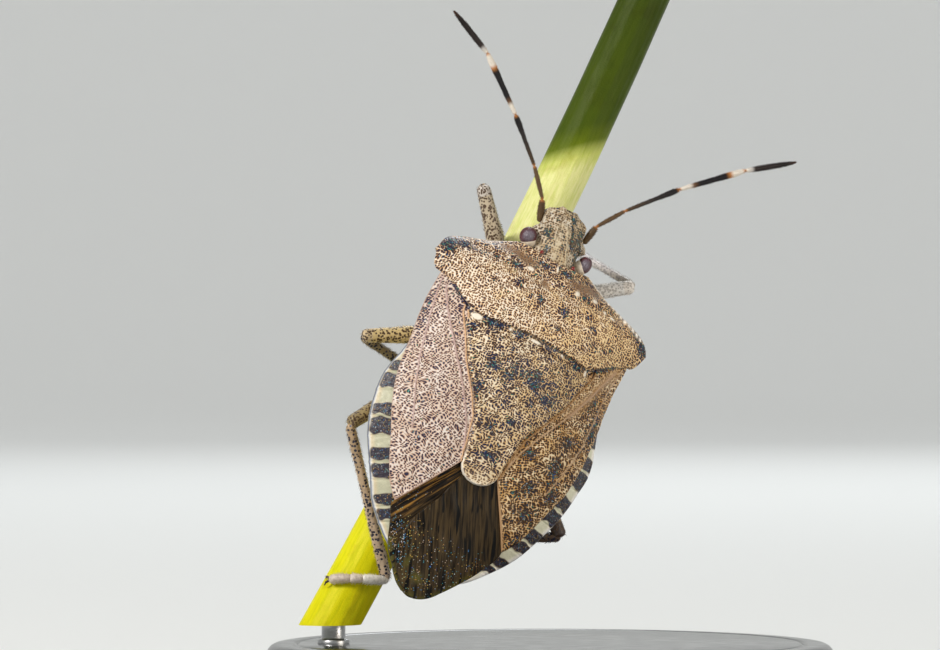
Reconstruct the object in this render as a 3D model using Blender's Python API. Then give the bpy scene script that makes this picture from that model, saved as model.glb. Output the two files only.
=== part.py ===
"""Adult brown marmorated shield bug, life size, climbing a cut plant stem on a plain display stand.

Every length below is in millimetres and is turned into metres when a mesh is made. The insect is drawn
in its own frame: x to its right, y towards its head, z up through its back, with z = 0 near the side
margin of the abdomen. An empty then carries that frame to the place and tilt in which the bug climbs.
The stem and the stand are drawn straight in the world, with the origin under the middle of the base.
"""

import math

import bmesh
import bpy
import numpy as np
from mathutils import Matrix, Vector

MM = 0.001
GAP = 0.05            # air between two neighbouring pieces
PLATE = 0.5           # thickness of a wing or of a shield plate
UNDERCUT = 0.18       # how far a plate's lower edge lies inside its upper edge
UNDERCUT_SHARE = 0.45 # the most that an edge point moves towards its neighbour

# Stand: a turned disc, and a short rod up to the lower end of the stem.
BASE_RADIUS = 10.0
BASE_THICKNESS = 1.85
BASE_CHAMFER = 0.25
BASE_SIDES = 56
ROD_RADIUS = 0.42
ROD_LENGTH = 0.6
ROD_SIDES = 16

# Stem: its axis passes through three points, and it tapers a little towards its upper cut.
STEM_LOW = Vector((-8.23, -0.81, 1.64))
STEM_MIDDLE = Vector((-2.13, 2.37, 13.05))
STEM_HIGH = Vector((3.46, 5.66, 24.82))
STEM_TOP = 25.4
STEM_RADIUS_LOW = 0.96
STEM_RADIUS_HIGH = 0.87
STEM_SIDES = 20
STEM_RINGS = 19

# The bug's own frame in the world: where its zero lies, which way it faces and which way its back points.
BUG_PLACE = Vector((-1.045, -1.791, 12.882))
BUG_FACING = Vector((0.351, 0.305, 0.886))
BUG_BACK = Vector((0.405, -0.902, 0.150))

# Lengthwise shape of the body, as (y, value) from the tail to the head.
BACK_HEIGHT = ((-10.6, 0.30), (-9.3, 0.62), (-7.7, 0.98), (-6.15, 1.32), (-4.5, 1.66), (-2.5, 1.95),
               (-0.65, 2.05), (0.4, 1.95), (1.4, 1.62), (2.5, 1.08), (3.6, 0.75), (4.7, 0.36))
SIDE_HEIGHT = ((-10.6, 0.05), (-8.0, 0.18), (-5.0, 0.25), (-2.4, 0.36), (-0.6, 0.52), (0.3, 0.85),
               (0.9, 1.10), (1.55, 0.90), (2.25, 0.55), (2.7, 0.35))
HALF_WIDTH = ((-10.6, 1.2), (-9.6, 1.7), (-8.65, 2.5), (-7.95, 2.95), (-6.7, 3.5), (-5.8, 3.85),
              (-4.6, 4.12), (-3.5, 4.2), (-2.4, 4.05), (-0.7, 3.9), (0.2, 4.1), (0.9, 4.35), (1.55, 4.05),
              (1.88, 3.4), (2.25, 2.5), (2.7, 1.7))
CROWN_POWER = 2.3     # how squarely the back rounds off towards its sides
BELLY_DEPTH = ((-10.1, 0.25), (-9.6, 0.95), (-8.5, 1.55), (-6.5, 2.0), (-4.0, 2.2), (-2.0, 2.2),
               (0.0, 2.05), (1.4, 1.6), (2.4, 0.95))
BELLY_HALF_WIDTH = ((-10.1, 0.35), (-9.55, 0.85), (-8.63, 1.70), (-7.92, 2.35), (-6.7, 3.0), (-5.8, 3.45),
                    (-4.6, 3.75), (-3.6, 3.85), (-2.4, 3.75), (-0.7, 3.5), (0.2, 3.5), (0.9, 3.35),
                    (1.55, 2.8), (2.0, 2.2), (2.4, 1.4))
BELLY_POWER = 2.2
BELLY_RIM = 0.12      # least thickness of the trunk, at its side margins
WAIST = -2.35         # where the thorax ends and the abdomen begins
TRUNK_FRONT = 2.38
TRUNK_REAR = -10.05

# Outlines of the right half as (half-width, y), from the head towards the tail.
PRONOTUM_SIDE = ((1.42, 2.70), (2.36, 2.27), (3.38, 1.90), (4.02, 1.52), (4.34, 0.90))
PRONOTUM_FRONT = 2.45
PRONOTUM_REAR = ((0.0, -0.66), (1.2, -0.71), (2.3, -0.66), (2.80, -0.40), (3.25, -0.08), (3.72, 0.17),
                 (4.22, 0.55), (4.34, 0.90))
SCUTELLUM_SIDE = ((2.62, -0.80), (2.35, -1.40), (1.94, -2.43), (1.35, -3.40), (0.98, -4.10), (0.80, -5.0),
                  (0.72, -5.60))
SCUTELLUM_TIP = -6.17
COSTA = ((3.80, 0.20), (3.80, -1.0), (3.80, -2.40), (3.82, -3.10), (3.76, -3.85), (3.50, -4.90),
         (3.20, -5.70), (2.98, -6.30), (2.45, -7.40), (2.15, -7.70))
MEMBRANE_SEAM = ((0.72, -5.60), (1.20, -6.30), (1.65, -6.96), (2.15, -7.70))
RIM = ((4.02, -2.45), (4.18, -3.10), (4.22, -3.60), (4.12, -4.60), (3.82, -5.80), (3.40, -6.70),
       (2.72, -7.92), (2.10, -8.63))
RIM_START = (3.82, -2.55)
# Where the rim runs out under each wing, as its inner and its outer corner.
RIM_END = {"left": ((1.74, -8.86), (1.88, -8.84)), "right": ((1.44, -9.04), (1.60, -9.05))}
RIGHT_WING_EDGE = ((2.15, -7.70), (1.75, -8.60), (1.26, -9.28), (0.65, -9.93), (0.25, -10.35),
                   (-0.10, -10.50))
LEFT_WING_EDGE = ((2.20, -7.72), (1.94, -8.40), (1.60, -9.16), (0.98, -9.97), (0.58, -10.40))
# The right wing's thin part lies over the left one's, up to this line, given as (x, y).
WING_LAP = ((-0.45, -6.05), (-0.70, -6.60), (-0.84, -7.05), (-1.15, -7.60), (-1.42, -8.30), (-1.38, -9.10),
            (-1.05, -9.70), (-0.62, -10.15), (-0.33, -10.44))

# The share of their side lines, from front to rear, that the wing pieces take up.
CORIUM_SPAN = (0.015, 0.993)
MEMBRANE_SPAN = {"left": (0.08, 0.985), "right": (0.02, 0.985)}

# Head, as (half-width, y) from the neck to the front, with its top and underside as (y, z).
HEAD_SIDE = ((0.93, 2.56), (0.84, 2.76), (0.80, 3.00), (0.86, 3.28), (1.04, 3.42), (1.03, 3.56),
             (0.88, 3.72), (0.80, 3.90), (0.83, 4.15), (0.78, 4.42), (0.56, 4.58), (0.30, 4.66))
HEAD_TOP = ((2.5, 1.05), (3.1, 0.98), (3.7, 0.76), (4.2, 0.52), (4.7, 0.32))
HEAD_SIDE_TOP = ((2.5, 0.55), (3.3, 0.45), (4.0, 0.30), (4.7, 0.18))
HEAD_UNDERSIDE = ((2.5, -0.95), (3.3, -0.80), (4.0, -0.50), (4.7, -0.18))
HEAD_RIM = 0.3        # thickness of the head at its sides
NECK_LENGTH = 0.5     # how far the head's rear edge follows the curve of the pronotum
EYE_CENTRE = (1.18, 3.04, 0.47)
EYE_RADII = (0.30, 0.33, 0.33)

# Beak and feelers, as points of their centre lines.
BEAK = ((0.0, 4.05, -0.86), (0.0, 3.2, -1.25), (0.0, 2.35, -1.55), (0.0, 1.2, -2.15), (0.0, -0.9, -2.52))
BEAK_RADIUS = 0.25
FEELER_RADIUS = 0.25
FEELER_JOINTS = {
    "left": ((-1.14, 4.00, 0.08), (-1.12, 4.56, 0.28), (-1.88, 5.50, 0.35), (-3.35, 6.71, 0.73),
             (-5.27, 8.10, 1.10), (-7.00, 8.90, 1.10)),
    "right": ((1.14, 4.00, 0.08), (1.12, 4.60, 0.28), (1.88, 5.60, 0.35), (3.35, 7.14, 0.73),
              (5.28, 8.81, 1.10), (6.98, 10.02, 1.10)),
}

# Legs: hip and knee in the bug's frame, then where the foot lies on the stem. A foot is given by the
# world height of its heel and of its claws, each with its angle round the stem in degrees, from the side
# that faces the bug and positive towards the bug's right.
COXA_RADII = (0.34, 0.28)
FEMUR_RADII = {"front": (0.26, 0.25), "middle": (0.27, 0.26), "hind": (0.28, 0.27)}
TIBIA_RADIUS = 0.25
FOOT_RADIUS = 0.25
FOOT_STEPS = 7
LEGS = {
    ("front", "left"): ((-0.70, 1.75, -2.08), (-2.84, 4.57, -1.32), (15.55, -85), (15.45, -155)),
    ("front", "right"): ((0.70, 1.75, -2.08), (3.52, 3.82, -0.95), (16.20, 74), (16.10, 145)),
    ("middle", "left"): ((-1.50, -0.45, -2.62), (-4.33, -1.87, -3.10), (10.50, -82), (10.40, -150)),
    ("middle", "right"): ((1.50, -0.45, -2.62), (4.30, -1.85, -3.05), (10.90, 82), (10.80, 150)),
    ("hind", "left"): ((-1.50, -1.90, -2.66), (-3.96, -5.34, -1.82), (4.44, 42), (3.50, -68)),
    ("hind", "right"): ((1.50, -1.90, -2.66), (4.62, -5.42, -2.00), (6.20, 74), (6.05, 145)),
}

CREAM = (0.62, 0.50, 0.34)
TAN = (0.55, 0.42, 0.27)
BROWN = (0.22, 0.15, 0.09)
DARK = (0.05, 0.04, 0.04)
SMOKE = (0.13, 0.10, 0.07)


def clear_scene():
    for thing in list(bpy.data.objects):
        bpy.data.objects.remove(thing)


def finish(name, colour, roughness, metallic=0.0):
    look = bpy.data.materials.new(name)
    look.use_nodes = True
    shader = look.node_tree.nodes["Principled BSDF"]
    shader.inputs["Base Color"].default_value = (*colour, 1.0)
    shader.inputs["Roughness"].default_value = roughness
    shader.inputs["Metallic"].default_value = metallic
    return look


def add_piece(name, form, look, carrier=None):
    """Makes one closed object from a bmesh in millimetres, facing outwards and shaded smooth."""
    bmesh.ops.recalc_face_normals(form, faces=form.faces)
    bmesh.ops.scale(form, vec=(MM, MM, MM), verts=form.verts)
    mesh = bpy.data.meshes.new(name)
    form.to_mesh(mesh)
    form.free()
    mesh.materials.append(look)
    mesh.shade_smooth()
    mesh.set_sharp_from_angle(angle=math.radians(40))
    piece = bpy.data.objects.new(name, mesh)
    bpy.context.collection.objects.link(piece)
    piece.parent = carrier
    return piece


def along(knots, place):
    """Smooth value at a place of a shape given as (place, value) knots."""
    places = np.array([k[0] for k in knots], float)
    values = np.array([k[1] for k in knots], float)
    slopes = np.gradient(values, places)
    place = min(max(place, places[0]), places[-1])
    i = min(int(np.searchsorted(places, place, side="right")) - 1, len(places) - 2)
    span = places[i + 1] - places[i]
    t = (place - places[i]) / span
    return float((2 * t**3 - 3 * t**2 + 1) * values[i] + (t**3 - 2 * t**2 + t) * span * slopes[i]
                 + (3 * t**2 - 2 * t**3) * values[i + 1] + (t**3 - t**2) * span * slopes[i + 1])


def walk(line, share):
    """Point at a share, 0 to 1, of the way along a line, on a smooth curve through its points."""
    points = [np.array(p, float) for p in line]
    reach = np.cumsum([0.0] + [np.linalg.norm(b - a) for a, b in zip(points, points[1:])])
    place = share * reach[-1]
    return [along([(r, p[k]) for r, p in zip(reach, points)], place) for k in range(len(points[0]))]


def crown(x, y, middle, side, half_width, power):
    """Height between a middle and a side value, rounding off across the half-width."""
    share = min(abs(x) / along(half_width, y), 1.0)
    return side + (middle - side) * (1.0 - share**power)


def back_height(x, y):
    return crown(x, y, along(BACK_HEIGHT, y), along(SIDE_HEIGHT, y), HALF_WIDTH, CROWN_POWER)


def belly_height(x, y):
    edge = back_height(along(BELLY_HALF_WIDTH, y), y) - PLATE - GAP - BELLY_RIM
    return crown(x, y, -along(BELLY_DEPTH, y), edge, BELLY_HALF_WIDTH, BELLY_POWER)


def lattice_solid(name, top, bottom, look, carrier):
    """Closed solid between two equal lattices of points, each a list of rows."""
    form = bmesh.new()
    rows, columns = len(top), len(top[0])
    upper = [[form.verts.new(p) for p in row] for row in top]
    lower = [[form.verts.new(p) for p in row] for row in bottom]
    for i in range(rows - 1):
        for j in range(columns - 1):
            form.faces.new((upper[i][j], upper[i][j + 1], upper[i + 1][j + 1], upper[i + 1][j]))
            form.faces.new((lower[i][j], lower[i + 1][j], lower[i + 1][j + 1], lower[i][j + 1]))
    edge = [(0, j) for j in range(columns)] + [(i, columns - 1) for i in range(1, rows)]
    edge += [(rows - 1, j) for j in range(columns - 2, -1, -1)] + [(i, 0) for i in range(rows - 2, 0, -1)]
    for (a, b), (c, d) in zip(edge, edge[1:] + edge[:1]):
        form.faces.new((upper[a][b], lower[a][b], lower[c][d], upper[c][d]))
    return add_piece(name, form, look, carrier)


def undercut(edge, inner):
    """An edge point drawn in towards the next point of its lattice."""
    reach = math.dist(edge, inner)
    share = min(UNDERCUT / reach, UNDERCUT_SHARE)
    return tuple(a + (b - a) * share for a, b in zip(edge, inner))


def plate(name, plan, look, carrier):
    """A shield plate or wing: rows of (x, y) laid on the back, with an even thickness below."""
    top = [[(x, y, back_height(x, y)) for x, y in row] for row in plan]
    bottom = [[(x, y, z - PLATE) for x, y, z in row] for row in top]
    for row in bottom:
        row[0], row[-1] = undercut(row[0], row[1]), undercut(row[-1], row[-2])
    for edge, inner in ((0, 1), (-1, -2)):
        bottom[edge] = [undercut(a, b) for a, b in zip(bottom[edge], bottom[inner])]
    return lattice_solid(name, top, bottom, look, carrier)


def between(first, second, rows, columns, span=(0.0, 1.0)):
    """Rows of points from one line to another, each end held half a gap short of its line."""
    plan = []
    for share in np.linspace(span[0], span[1], rows):
        a, b = np.array(walk(first, share)), np.array(walk(second, share))
        inset = (b - a) / np.linalg.norm(b - a) * GAP / 2
        a, b = a + inset, b - inset
        plan.append([tuple(a + (b - a) * t) for t in np.linspace(0.0, 1.0, columns)])
    return plan


def mirrored(line):
    return [(-x, y) for x, y in line]


def behind_scutellum(plan):
    """Pulls a plan back from the round tip of the scutellum."""
    width, shoulder = SCUTELLUM_SIDE[-1]
    cleared = []
    for row in plan:
        new_row = []
        for x, y in row:
            share = x / (width + GAP)
            if abs(share) < 1.0:
                y = min(y, shoulder + (SCUTELLUM_TIP - shoulder) * math.sqrt(1.0 - share**2) - GAP)
            new_row.append((x, y))
        cleared.append(new_row)
    return cleared


def make_pronotum(carrier):
    corner_rise = PRONOTUM_SIDE[0][1] - PRONOTUM_FRONT
    tip_x, tip_y = PRONOTUM_REAR[-1]
    rear_middle = PRONOTUM_REAR[0][1]
    plan = []
    for s in np.linspace(0.0, 1.0, 8):
        side_x, side_y = walk(PRONOTUM_SIDE, s)
        middle_y = PRONOTUM_FRONT + (rear_middle - PRONOTUM_FRONT) * s
        row = []
        for t in np.linspace(-1.0, 1.0, 15):
            rear_bend = (along(PRONOTUM_REAR, tip_x * abs(t)) - rear_middle) / (tip_y - rear_middle)
            front_bend = t * t * corner_rise / (side_y - middle_y)
            front_bend = min(front_bend, 1.0) if abs(t) < 1.0 else 1.0
            bend = front_bend * (1.0 - s) + rear_bend * s
            row.append((side_x * t, middle_y + (side_y - middle_y) * bend))
        plan.append(row)
    plate("pronotum", plan, finish("pronotum", CREAM, 0.5), carrier)


def make_scutellum(carrier):
    outline = [walk(SCUTELLUM_SIDE, s) for s in np.linspace(0.0, 1.0, 11)]
    width, shoulder = SCUTELLUM_SIDE[-1]
    for turn in (30, 55, 75):
        angle = math.radians(turn)
        outline.append((width * math.cos(angle), shoulder + (SCUTELLUM_TIP - shoulder) * math.sin(angle)))
    plan = [[(t * (x - GAP / 2), y) for t in np.linspace(-1.0, 1.0, 9)] for x, y in outline]
    plate("scutellum", plan, finish("scutellum", CREAM, 0.5), carrier)


def make_wings(carrier):
    """The leathery front part of each wing, and the thin rear parts, the right one over the left."""
    for side, sign in (("left", -1), ("right", 1)):
        plan = between(SCUTELLUM_SIDE, COSTA, 14, 7, CORIUM_SPAN)
        plan[0] = [(x, y - GAP) for x, y in plan[0]]
        plan = [[(sign * x, y) for x, y in row] for row in plan]
        plate("corium_" + side, plan, finish("corium_" + side, TAN, 0.5), carrier)
    plan = between(WING_LAP, MEMBRANE_SEAM + RIGHT_WING_EDGE[1:], 13, 7, MEMBRANE_SPAN["right"])
    plate("membrane_right", behind_scutellum(plan), finish("membrane_right", SMOKE, 0.25), carrier)
    outer = mirrored(MEMBRANE_SEAM[:-1]) + mirrored(LEFT_WING_EDGE)
    plan = between(outer, WING_LAP, 13, 4, MEMBRANE_SPAN["left"])
    plate("membrane_left", behind_scutellum(plan), finish("membrane_left", SMOKE, 0.25), carrier)


def make_connexivum(carrier):
    """The banded side rim of the abdomen, which shows beside the folded wings."""
    wing_edges = {"left": LEFT_WING_EDGE, "right": RIGHT_WING_EDGE}
    for side, sign in (("left", -1), ("right", 1)):
        inner_end, outer_end = RIM_END[side]
        inner = (RIM_START,) + COSTA[3:] + (wing_edges[side][1], inner_end)
        plan = between(inner, RIM + (outer_end,), 14, 3)
        plan = [[(sign * x, y) for x, y in row] for row in plan]
        plate("connexivum_" + side, plan, finish("connexivum_" + side, CREAM, 0.4), carrier)


def make_trunk(carrier):
    """Thorax and abdomen: what lies under the plates and wings, down to the belly."""
    spans = (("thorax", TRUNK_FRONT, WAIST + GAP / 2, 9), ("abdomen", WAIST - GAP / 2, TRUNK_REAR, 12))
    for name, front, rear, rows in spans:
        top, bottom = [], []
        for y in np.linspace(front, rear, rows):
            half = along(BELLY_HALF_WIDTH, y)
            xs = [half * math.sin(a) for a in np.linspace(-math.pi / 2, math.pi / 2, 13)]
            top.append([(x, y, back_height(x, y) - PLATE - GAP) for x in xs])
            bottom.append([(x, y, belly_height(x, y)) for x in xs])
        lattice_solid(name, top, bottom, finish(name, TAN, 0.45), carrier)


def make_head(carrier):
    corner_rise = PRONOTUM_SIDE[0][1] - PRONOTUM_FRONT
    top, bottom = [], []
    for half, y in [walk(HEAD_SIDE, s) for s in np.linspace(0.0, 1.0, 14)]:
        neck = max(0.0, 1.0 - (y - HEAD_SIDE[0][1]) / NECK_LENGTH)
        upper, lower = [], []
        for t in [math.sin(a) for a in np.linspace(-math.pi / 2, math.pi / 2, 9)]:
            place = y + neck * corner_rise * (half * t / PRONOTUM_SIDE[0][0])**2
            edge = along(HEAD_SIDE_TOP, y)
            rim = edge - HEAD_RIM
            roundness = 1.0 - abs(t)**CROWN_POWER
            upper.append((half * t, place, edge + (along(HEAD_TOP, y) - edge) * roundness))
            lower.append((half * t, place, rim + (along(HEAD_UNDERSIDE, y) - rim) * roundness))
        top.append(upper)
        bottom.append(lower)
    lattice_solid("head", top, bottom, finish("head", BROWN, 0.5), carrier)
    for side, sign in (("left", -1), ("right", 1)):
        form = bmesh.new()
        bmesh.ops.create_uvsphere(form, u_segments=12, v_segments=8, radius=1.0)
        bmesh.ops.scale(form, vec=EYE_RADII, verts=form.verts)
        bmesh.ops.translate(form, vec=(sign * EYE_CENTRE[0], *EYE_CENTRE[1:]), verts=form.verts)
        add_piece("eye_" + side, form, finish("eye_" + side, DARK, 0.2), carrier)


def side_vectors(points):
    """The direction at each point of a path, and one steady pair of vectors square to it."""
    side, found = None, []
    for i in range(len(points)):
        way = (points[min(i + 1, len(points) - 1)] - points[max(i - 1, 0)]).normalized()
        side = way.orthogonal() if side is None else side
        side = (side - way * side.dot(way)).normalized()
        found.append((way, side, way.cross(side)))
    return found


def tube(points, radii, sides):
    """Closed tube along a path, with round ends that pass the end points by one radius."""
    points = [Vector(p) for p in points]
    frames = side_vectors(points)
    rings = [(p, r, u, v) for p, r, (_, u, v) in zip(points, radii, frames)]
    for turn in (42, 76):
        shrink, reach = math.cos(math.radians(turn)), math.sin(math.radians(turn))
        (first_way, first_u, first_v), (last_way, last_u, last_v) = frames[0], frames[-1]
        rings.insert(0, (points[0] - first_way * radii[0] * reach, radii[0] * shrink, first_u, first_v))
        rings.append((points[-1] + last_way * radii[-1] * reach, radii[-1] * shrink, last_u, last_v))
    form = bmesh.new()
    loops = []
    angles = [2 * math.pi * k / sides for k in range(sides)]
    for centre, radius, u, v in rings:
        points = [centre + (u * math.cos(a) + v * math.sin(a)) * radius for a in angles]
        loops.append([form.verts.new(p) for p in points])
    for lower, upper in zip(loops, loops[1:]):
        for k in range(sides):
            form.faces.new((lower[k], lower[(k + 1) % sides], upper[(k + 1) % sides], upper[k]))
    form.faces.new(loops[0])
    form.faces.new(loops[-1])
    return form


def segment(name, start, end, radii, look, carrier, sides=8):
    """One straight limb segment between the centres of its two round ends."""
    steps = (0.0, 0.5, 1.0)
    points = [Vector(start).lerp(Vector(end), s) for s in steps]
    widths = [radii[0] + (radii[1] - radii[0]) * s for s in steps]
    return add_piece(name, tube(points, widths, sides), look, carrier)


def start_past(joint, way, before, reach):
    """Where a segment starts past a joint, so that it also clears the segment before it in a sharp bend."""
    bend = min(way.angle(before - joint), math.pi / 2)
    return joint + way * reach / math.sin(bend)


def make_feelers_and_beak(carrier):
    for side, joints in FEELER_JOINTS.items():
        joints = [Vector(j) for j in joints]
        for number, (start, end) in enumerate(zip(joints, joints[1:]), start=1):
            way = (end - start).normalized()
            start = start + way * (2 * FEELER_RADIUS + GAP) if number > 1 else start
            name = f"antenna_{side}_{number}"
            look = finish(name, BROWN if number < 3 else DARK, 0.45)
            segment(name, start, end, (FEELER_RADIUS, FEELER_RADIUS), look, carrier, sides=6)
    points = [walk(BEAK, s) for s in np.linspace(0.0, 1.0, 9)]
    add_piece("beak", tube(points, [BEAK_RADIUS] * len(points), 8), finish("beak", TAN, 0.4), carrier)


def stem_point(height):
    """Centre of the stem at a height: the parabola through its three points."""
    knots = (STEM_LOW, STEM_MIDDLE, STEM_HIGH)
    place = Vector((0.0, 0.0, 0.0))
    for i, knot in enumerate(knots):
        others = [k for j, k in enumerate(knots) if j != i]
        weight = math.prod((height - o.z) / (knot.z - o.z) for o in others)
        place += knot * weight
    return place


def stem_way(height):
    return (stem_point(height + 0.5) - stem_point(height - 0.5)).normalized()


def stem_radius(height):
    share = (height - STEM_LOW.z) / (STEM_HIGH.z - STEM_LOW.z)
    return STEM_RADIUS_LOW + (STEM_RADIUS_HIGH - STEM_RADIUS_LOW) * share


def on_stem(height, turn, clearance):
    """World point beside the stem, at an angle from the side that faces the bug."""
    way = stem_way(height)
    towards_bug = (BUG_BACK - way * BUG_BACK.dot(way)).normalized()
    out = towards_bug * math.cos(math.radians(turn)) + way.cross(towards_bug) * math.sin(math.radians(turn))
    return stem_point(height) + out * (stem_radius(height) + clearance)


def bug_frame():
    facing = BUG_FACING.normalized()
    back = (BUG_BACK - facing * BUG_BACK.dot(facing)).normalized()
    turn = Matrix((facing.cross(back), facing, back)).transposed().to_4x4()
    return Matrix.Translation(BUG_PLACE) @ turn


def make_carrier():
    carrier = bpy.data.objects.new("bug_carrier", None)
    bpy.context.collection.objects.link(carrier)
    place, turn, _ = bug_frame().decompose()
    carrier.location = place * MM
    carrier.rotation_mode = "QUATERNION"
    carrier.rotation_quaternion = turn
    return carrier


def make_legs(carrier):
    to_bug = bug_frame().inverted()
    for (place, side), (hip, knee, heel, claws) in LEGS.items():
        name = f"leg_{place}_{side}_"
        hip, knee = Vector(hip), Vector(knee)
        root = Vector((hip.x, hip.y, belly_height(hip.x, hip.y) - GAP - COXA_RADII[0]))
        segment(name + "coxa", root, hip, COXA_RADII, finish(name + "coxa", TAN, 0.45), carrier)
        radii = FEMUR_RADII[place]
        start = start_past(hip, (knee - hip).normalized(), root, COXA_RADII[1] + radii[0] + GAP)
        segment(name + "femur", start, knee, radii, finish(name + "femur", TAN, 0.45), carrier)
        foot = []
        for s in np.linspace(0.0, 1.0, FOOT_STEPS):
            height, turn = (heel[k] + (claws[k] - heel[k]) * s for k in (0, 1))
            foot.append(to_bug @ on_stem(height, turn, FOOT_RADIUS + GAP))
        way = (foot[0] - knee).normalized()
        start = start_past(knee, way, hip, radii[1] + TIBIA_RADIUS + GAP)
        end = foot[0] - way * (FOOT_RADIUS + TIBIA_RADIUS + GAP)
        look = finish(name + "tibia", TAN, 0.45)
        segment(name + "tibia", start, end, (TIBIA_RADIUS, TIBIA_RADIUS), look, carrier)
        form = tube(foot, [FOOT_RADIUS] * len(foot), 8)
        add_piece(name + "tarsus", form, finish(name + "tarsus", CREAM, 0.45), carrier)


def ring_points(centre, way, radius, sides, level=None):
    """A ring square to the stem, or slid along the stem on to a level plane."""
    u = way.orthogonal().normalized()
    v = way.cross(u)
    points = []
    for k in range(sides):
        angle = 2 * math.pi * k / sides
        point = centre + (u * math.cos(angle) + v * math.sin(angle)) * radius
        if level is not None:
            point += way * (level - point.z) / way.z
        points.append(point)
    return points


def make_stem():
    bottom = BASE_THICKNESS + ROD_LENGTH + 2 * GAP
    heights = np.linspace(bottom, STEM_TOP, STEM_RINGS)
    form = bmesh.new()
    loops = []
    for height in heights:
        level = bottom if height == bottom else None
        ring = ring_points(stem_point(height), stem_way(height), stem_radius(height), STEM_SIDES, level)
        loops.append([form.verts.new(p) for p in ring])
    for lower, upper in zip(loops, loops[1:]):
        for k in range(STEM_SIDES):
            form.faces.new((lower[k], lower[(k + 1) % STEM_SIDES], upper[(k + 1) % STEM_SIDES], upper[k]))
    form.faces.new(loops[0])
    form.faces.new(loops[-1])
    add_piece("perch_stem", form, finish("perch_stem", (0.45, 0.48, 0.05), 0.4))


def cylinder(name, foot, radius, height, sides, look, chamfer=0.0):
    """Upright round piece standing on a point, with its top edge cut back by a chamfer."""
    form = bmesh.new()
    bmesh.ops.create_cone(form, cap_ends=True, segments=sides, radius1=radius, radius2=radius, depth=height)
    top_edges = [edge for edge in form.edges if all(vert.co.z > 0.0 for vert in edge.verts)]
    if chamfer:
        bmesh.ops.bevel(form, geom=top_edges, offset=chamfer, segments=1, affect="EDGES")
    bmesh.ops.translate(form, vec=foot + Vector((0.0, 0.0, height / 2)), verts=form.verts)
    return add_piece(name, form, look)


def make_stand():
    enamel = finish("stand_base", (0.03, 0.03, 0.03), 0.35)
    steel = finish("stand_rod", (0.6, 0.6, 0.6), 0.3, 1.0)
    middle = Vector((0.0, 0.0, 0.0))
    cylinder("stand_base", middle, BASE_RADIUS, BASE_THICKNESS, BASE_SIDES, enamel, BASE_CHAMFER)
    foot = stem_point(BASE_THICKNESS + ROD_LENGTH + 2 * GAP)
    foot.z = BASE_THICKNESS + GAP
    cylinder("stand_rod", foot, ROD_RADIUS, ROD_LENGTH, ROD_SIDES, steel)


def main():
    clear_scene()
    carrier = make_carrier()
    make_head(carrier)
    make_feelers_and_beak(carrier)
    make_pronotum(carrier)
    make_scutellum(carrier)
    make_wings(carrier)
    make_connexivum(carrier)
    make_trunk(carrier)
    make_legs(carrier)
    make_stem()
    make_stand()


main()
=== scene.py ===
import math

import bmesh
import bpy
import numpy as np
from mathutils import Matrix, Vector


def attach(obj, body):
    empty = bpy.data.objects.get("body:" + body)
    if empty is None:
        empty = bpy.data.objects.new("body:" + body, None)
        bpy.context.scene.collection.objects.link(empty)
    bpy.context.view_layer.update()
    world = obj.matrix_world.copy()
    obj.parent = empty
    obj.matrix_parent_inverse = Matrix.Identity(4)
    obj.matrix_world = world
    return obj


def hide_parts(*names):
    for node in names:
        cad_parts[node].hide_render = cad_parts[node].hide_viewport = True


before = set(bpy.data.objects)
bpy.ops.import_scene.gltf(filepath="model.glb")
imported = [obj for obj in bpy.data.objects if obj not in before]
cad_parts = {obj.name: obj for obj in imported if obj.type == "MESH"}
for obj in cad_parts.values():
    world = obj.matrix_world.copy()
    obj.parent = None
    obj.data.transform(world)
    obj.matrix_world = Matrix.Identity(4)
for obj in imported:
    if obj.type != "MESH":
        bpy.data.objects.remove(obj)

# The photo's view: a macro lens looks level at the bug's back from about 200 mm away. The whole stand is
# lit by one large soft lamp at the upper left and weaker ones elsewhere, on a pale sheet that curves up
# into walls all round.
MM = 0.001
CAMERA_PLACE = Vector((-2.82, -203.7, 13.05)) * MM
CAMERA_LENS = 221.36
# Lamps as (name, place, aim, size, power, colour), in millimetres and watts.
LAMPS = (
    ("key_lamp", (-230, -220, 230), (0, 0, 13), 110, 1.22, (1.0, 0.97, 0.93)),
    ("fill_lamp", (260, -190, 90), (0, 0, 13), 170, 0.33, (1.0, 0.93, 0.82)),
    ("rear_lamp", (60, 300, 240), (0, 0, 13), 160, 0.35, (0.93, 0.97, 1.0)),
    ("wall_lamp", (0, 250, 520), (0, 800, 200), 260, 0.95, (1.0, 1.0, 1.0)),
)
# The sheet's outline in metres, as (radius, height), and the number of its sides.
SHEET_PROFILE = [(0.0, 0.0), (0.45, 0.0)] + [
    (0.45 + 0.35 * math.sin(a), 0.35 - 0.35 * math.cos(a)) for a in np.linspace(0.1, math.pi / 2, 12)
] + [(0.8, 1.1)]
SHEET_SIDES = 96

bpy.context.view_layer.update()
scene = bpy.context.scene
scene.view_settings.view_transform = "Standard"


def link(name, data):
    thing = bpy.data.objects.new(name, data)
    scene.collection.objects.link(thing)
    return thing


def set_inputs(node, **sockets):
    """Sets a node's inputs, by name or as i and a number, to a value or to another node's output."""
    for name, value in sockets.items():
        place = int(name[1:]) if name[1:].isdigit() else name.replace("_", " ")
        if isinstance(value, bpy.types.NodeSocket):
            node.id_data.links.new(value, node.inputs[place])
        else:
            node.inputs[place].default_value = value
    return node


def new_look(name, **inputs):
    """A new material, its node tree, and its shader with plain inputs set."""
    look = bpy.data.materials.new(name)
    look.use_nodes = True
    return look, look.node_tree, set_inputs(look.node_tree.nodes["Principled BSDF"], **inputs)


lens = bpy.data.cameras.new("camera")
lens.sensor_width = 36.0
lens.lens = CAMERA_LENS
camera = link("camera", lens)
camera.location = CAMERA_PLACE
camera.rotation_euler = (math.radians(90), 0, 0)
scene.camera = camera

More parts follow.
